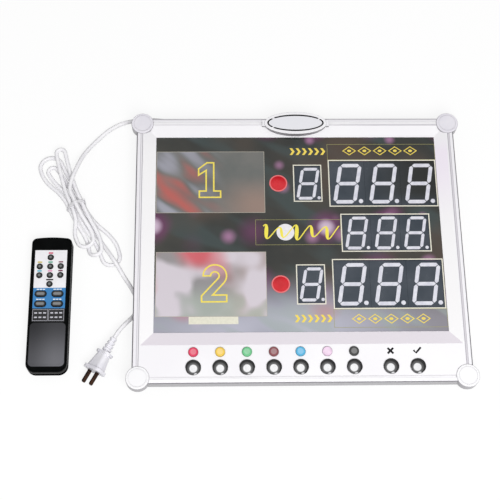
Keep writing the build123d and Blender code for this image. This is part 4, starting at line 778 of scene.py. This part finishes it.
def waist_point(place, height, along):
    """Point of a strand at the waist, at its place across it and a distance along it."""
    up = heading(waist_lean, 1)
    return waist + across(up) * place + up * along + Vector((0, 0, height))


def leg_reach(start, start_dir, end, end_dir):
    """How far a leg's two corners stand from its ends, where they stand twice as far from each other."""
    gap = end - start
    both = start_dir + end_dir
    spare = math.sqrt(gap.dot(both) ** 2 + 2 * (1 - start_dir.dot(end_dir)) * gap.dot(gap))
    return gap.dot(gap) / (gap.dot(both) + spare)


def loop_points(side, reach, lean, bend_lean, half, in_x, in_z, z0, z1, z2, out_x, out_z):
    """Control points of one loop: a leg out from the waist, a round bend of six points, and a leg back."""
    out = heading(bend_lean, side)
    right = across(out)
    middle = waist + heading(lean, side) * (reach - half)
    waist_dir = heading(waist_lean, side)
    leave = waist_point(in_x, in_z, side * waist_half)
    bend_start = middle - right * half + Vector((0, 0, z0))
    bend_end = middle + right * half + Vector((0, 0, z2))
    back = waist_point(out_x, out_z, side * waist_half)
    first = leg_reach(leave, waist_dir, bend_start, out)
    last = leg_reach(bend_end, -out, back, -waist_dir)
    points = [leave + waist_dir * first, bend_start - out * first]
    spread = half / math.cos(math.radians(15))
    for turn in range(15, 180, 30):
        angle = math.radians(turn)
        rise = z0 + (z1 - z0) * turn / 90 if turn < 90 else z1 + (z2 - z1) * (turn - 90) / 90
        flat = right * -math.cos(angle) + out * math.sin(angle)
        points.append(middle + flat * spread + Vector((0, 0, rise)))
    return [*points, bend_end - out * last, back + waist_dir * last]


def mesh_of(curve_data):
    """The mesh that a curve gives as it now stands."""
    holder = bpy.data.objects.new("curve_holder", curve_data)
    bpy.context.scene.collection.objects.link(holder)
    depsgraph = bpy.context.evaluated_depsgraph_get()
    mesh = bpy.data.meshes.new_from_object(holder.evaluated_get(depsgraph))
    bpy.data.objects.remove(holder)
    return mesh


waist_up = heading(waist_lean, 1)
lead_straight, tail_straight, plug_straight = 0.0125, 0.0095, 0.012
hank_start = waist_point(lead_side, waist_top, waist_half + cord_d)
hank_end = waist_point(tail_side, waist_low, -waist_half - cord_d)
cord_exit = Vector((-0.150, 0.1525, 0.005))
plug_start = Vector((-0.237, -0.1185, 0.0134))
plug_dir = Vector((-0.487, -0.873, 0)).normalized()
lead_points = [
    cord_exit,
    Vector((-0.1500, 0.1665, 0.0050)),
    Vector((-0.1553, 0.1793, 0.0044)),
    Vector((-0.1652, 0.1892, 0.0038)),
    Vector((-0.1780, 0.1945, 0.0032)),
    Vector((-0.2040, 0.1959, 0.0028)),
    Vector((-0.2310, 0.1926, 0.0028)),
    Vector((-0.2520, 0.1810, 0.0028)),
    Vector((-0.2710, 0.1615, 0.0029)),
    Vector((-0.2845, 0.1425, 0.0072)),
    Vector((-0.2912, 0.1240, 0.0135)),
    Vector((-0.2978, 0.1045, waist_top)),
    hank_start + waist_up * lead_straight,
    hank_start,
]
tail_points = [
    hank_end,
    hank_end - waist_up * tail_straight,
    Vector((-0.2690, 0.0325, 0.0028)),
    Vector((-0.2540, 0.0105, 0.0029)),
    Vector((-0.2450, -0.0040, 0.0091)),
    Vector((-0.2360, -0.0175, 0.0091)),
    Vector((-0.2270, -0.0325, 0.0029)),
    Vector((-0.2155, -0.0500, 0.0028)),
    Vector((-0.2066, -0.0690, 0.0029)),
    Vector((-0.2115, -0.0850, 0.0052)),
    Vector((-0.2215, -0.0965, 0.0100)),
    plug_start - plug_dir * plug_straight,
    plug_start,
]
cord_points = list(lead_points)
for one_loop in loops:
    cord_points += loop_points(*one_loop)
cord_points += tail_points
cord_curve = bpy.data.curves.new("mains_cord", "CURVE")
cord_curve.dimensions = "3D"
cord_curve.resolution_u = 10
cord_line = cord_curve.splines.new("NURBS")
cord_line.points.add(len(cord_points) - 1)
for corner, point in zip(cord_line.points, cord_points):
    corner.co = (*point, 1)
cord_line.order_u = 3
cord_line.use_endpoint_u = True
cord_path = [tuple(vertex.co) for vertex in mesh_of(cord_curve).vertices]
cord_curve.bevel_depth = cord_d / 2
cord_curve.bevel_resolution = 6
cord_curve.use_fill_caps = True
sheath_shades = (0.86, 0.85, 0.88), (0.91, 0.90, 0.92)
cable_sheath = Finish("white_cable_sheath", sheath_shades, 90.0, 0.42, 1500.0, 0.00006)
cord_mesh = mesh_of(cord_curve)
cord_mesh.shade_smooth()
cord = new_piece("mains_cord", cord_mesh, cable_sheath, "case")
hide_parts("cord_lead", "cord_hank", "cord_tail")

# The tie and the plug: a white paper-covered tie wound once round the hank, and a moulded white plug
# with two flat brass blades gone brown.
tie_paper = Finish("tie_paper", ((0.78, 0.77, 0.80), (0.86, 0.85, 0.87)), 400.0, 0.6, 2500.0, 0.0001)
tie_paper.dress("cord_tie")
plug_shades = (0.76, 0.75, 0.81), (0.84, 0.83, 0.87)
plug_plastic = Finish("plug_plastic", plug_shades, 60.0, 0.36, 1800.0, 0.00008)
plug_plastic.dress("plug_body")
brass_shades = (0.012, 0.004, 0.002), (0.055, 0.018, 0.006)
brass = Finish("brown_brass", brass_shades, 260.0, 0.32, 900.0, 0.00006, metallic=0.85, stretch=(1, 0.3, 1))
brass.dress("plug_pins")

# The remote's shells: two satin black mouldings that clip together, the upper one with a grip field set
# into it that is painted greyer as a reflection, lighter downward and to the right, and a door that slides
# over the cells.


def outside(finish, middle_x, middle_y, half_x, half_y):
    """How far it is, seen from the front, to a rectangle round a middle: 0 inside it."""
    endless = 1.0
    away = finish.vector("SUBTRACT", finish.place, (middle_x, middle_y, 0))
    away = finish.vector("ABSOLUTE", away)
    away = finish.vector("SUBTRACT", away, (half_x, half_y, endless))
    return finish.vector("LENGTH", finish.vector("MAXIMUM", away, (0, 0, 0)))


shell_shades = (0.0012, 0.0012, 0.0014), (0.0025, 0.0026, 0.003)
shell_black = Finish("remote_black", shell_shades, 70.0, 0.50, 2200.0, 0.00006, mirror=0.0)
shell_black.dress("remote_lower_shell", "remote_battery_door")
satin_shades = (0.0012, 0.0014, 0.0015), (0.0025, 0.003, 0.003)
satin = Finish("remote_satin", satin_shades, 70.0, 0.40, 2200.0, 0.00006, mirror=0.04)
grip_x, grip_y = middle_of(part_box("remote_upper_shell"))[0], -0.1275
grip_half_x, grip_half_y = 0.0170, 0.0230
round_start, round_full = 0.0060, 0.0050
grip = satin.ramp(outside(satin, grip_x, grip_y, grip_half_x, grip_half_y), round_start, round_full)
spot = satin.axes(satin.place)
# Painted reflection: the grip field is painted grey, growing lighter downward and to the right.
reflection_down = satin.ramp(spot["Y"], -0.098, -0.152, 0.35, 1.0)
reflection_right = satin.ramp(spot["X"], grip_x - 0.022, grip_x + 0.012, 0.55, 1.0)
satin.lay((0.15, 0.15, 0.165), satin.times(grip, reflection_down, reflection_right))
satin.dress("remote_upper_shell")

# The faceplate: a thin sheet glued into the upper shell, printed white round the colour keys, blue
# round the oval ones and black below them.
worn = (0.93, 0.93, 0.93), (1, 1, 1)
faceplate = Finish("faceplate_print", worn, 90.0, 0.30, 1500.0, 0.00002)
blue_end, black_end = -0.0526, -0.0802
up = faceplate.axes(faceplate.place)["Y"]
on_blue = faceplate.number("GREATER_THAN", up, black_end)
on_white = faceplate.number("GREATER_THAN", up, blue_end)
zones = faceplate.mixed((0.006, 0.006, 0.008), (0.03, 0.20, 0.48), on_blue)
faceplate.stain(faceplate.mixed(zones, (0.84, 0.83, 0.86), on_white))
faceplate.dress("remote_faceplate")

# The remote's keys: black rubber buttons that come up through the faceplate, eight round ones with a
# painted grey reflection in the middle and four oval ones with a wider painted reflection.
mark_shades = {
    "red": (0.62, 0.05, 0.14),
    "yellow": (0.62, 0.50, 0.12),
    "green": (0.06, 0.36, 0.24),
    "brown": (0.22, 0.08, 0.12),
    "blue": (0.08, 0.42, 0.55),
    "pink": (0.72, 0.30, 0.48),
    "black": (0.16, 0.03, 0.07),
    "break": (0.02, 0.02, 0.02),
}
round_boxes = {name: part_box("remote_" + name + "_key") for name in mark_shades}
round_shades = (0.003, 0.0035, 0.0035), (0.008, 0.009, 0.009)
round_rubber = Finish("round_key_rubber", round_shades, 200.0, 0.25, 3000.0, 0.00004)
round_middles = [middle_of(box)[:2] for box in round_boxes.values()]
key_reflection_edge, key_reflection_full = 0.0022, 0.0010
key_reflection = round_rubber.ramp(nearest(round_rubber, round_middles), key_reflection_edge, key_reflection_full)
# Painted reflection: a grey spot in the middle of each round key.
round_rubber.lay((0.16, 0.17, 0.17), key_reflection)
round_rubber.dress(*["remote_" + name + "_key" for name in mark_shades], "remote_key_mat")
oval_boxes = {name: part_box("remote_" + name + "_key") for name in ("up", "down", "cancel", "enter")}
oval_shades = (0.004, 0.004, 0.004), (0.007, 0.007, 0.007)
oval_rubber = Finish("oval_key_rubber", oval_shades, 160.0, 0.30, 3000.0, 0.00004)
least = 1.0
for low, high in oval_boxes.values():
    straight = (high[0] - low[0] - high[1] + low[1]) / 2
    away = outside(oval_rubber, *middle_of((low, high))[:2], straight, 0)
    least = oval_rubber.number("MINIMUM", away, least)
oval_reflection_edge, oval_reflection_full = 0.0027, 0.0010
# Painted reflection: a wider grey patch along the middle of each oval key.
oval_rubber.lay((0.20, 0.205, 0.21), oval_rubber.ramp(least, oval_reflection_edge, oval_reflection_full))
oval_rubber.dress(*["remote_" + name + "_key" for name in oval_boxes])

# The remote's inner parts: a dark red window that lets infrared light out at the top end, and two
# steel-jacketed cells between springy contacts.
window_shades = (0.02, 0.004, 0.005), (0.03, 0.006, 0.008)
Finish("infrared_window", window_shades, 200.0, 0.08, 900.0, 0.00001).dress("remote_infrared_window")
jacket_shades = (0.25, 0.26, 0.28), (0.40, 0.41, 0.43)
cell_jacket = Finish("cell_jacket", jacket_shades, 90.0, 0.3, 900.0, 0.00002, metallic=0.9)
cell_jacket.dress("remote_batteries", "remote_contacts")

# The faceplate's marks: printed ink. A dash in the key's colour stands over each round key, three
# pale ones over each oval key, and two boxes with rows of grey dashes below them.
face_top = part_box("remote_faceplate")[1][2] * millimetres
mark_top = face_top + 0.05
pale_blue = (0.80, 0.86, 0.92)
box_grey = (0.42, 0.42, 0.46)
dash_grey = (0.55, 0.55, 0.60)
dash_gap = 0.1
# How long and how wide a dash is.
short_dash, long_dash, thin_dash = (5.8, 1.9), (9.2, 1.9), (3.0, 1.4)
dashes = []
for name, box in round_boxes.items():
    x, y = middle_of(box)[0] * millimetres, box[1][1] * millimetres + dash_gap
    length, width = long_dash if name == "break" else short_dash
    dashes.append((rectangle(x - length / 2, x + length / 2, y, y + width), mark_shades[name]))
thin_pitch = 3.8
for box in oval_boxes.values():
    x, y = middle_of(box)[0] * millimetres, box[1][1] * millimetres + dash_gap
    length, width = thin_dash
    for middle in (x - thin_pitch, x, x + thin_pitch):
        dashes.append((rectangle(middle - length / 2, middle + length / 2, y, y + width), pale_blue))
marks = []
box_low, box_high, box_pen = -96.6, -81.6, 0.5
row_pitch, row_half_x, row_half_y = 5.6, 1.8, 0.9
for left, right in ((-340.0, -320.6), (-319.8, -300.2)):
    edge = rectangle(left, right, box_low, box_high)
    inside = rectangle(left + box_pen, right - box_pen, box_low + box_pen, box_high - box_pen)
    marks.append((band(edge, inside, face_top, mark_top), box_grey))
    for y in (-86.2, -92.0):
        for step in (-1, 0, 1):
            x = (left + right) / 2 + row_pitch * step
            dash = rectangle(x - row_half_x, x + row_half_x, y - row_half_y, y + row_half_y)
            dashes.append((dash, dash_grey))
marks += [(patch(corners, face_top, mark_top), shade) for corners, shade in dashes]
mark_bands, mark_inks = zip(*marks)
flat_piece("remote_marks", mark_bands, ink, mark_inks, "remote")

bpy.context.view_layer.update()
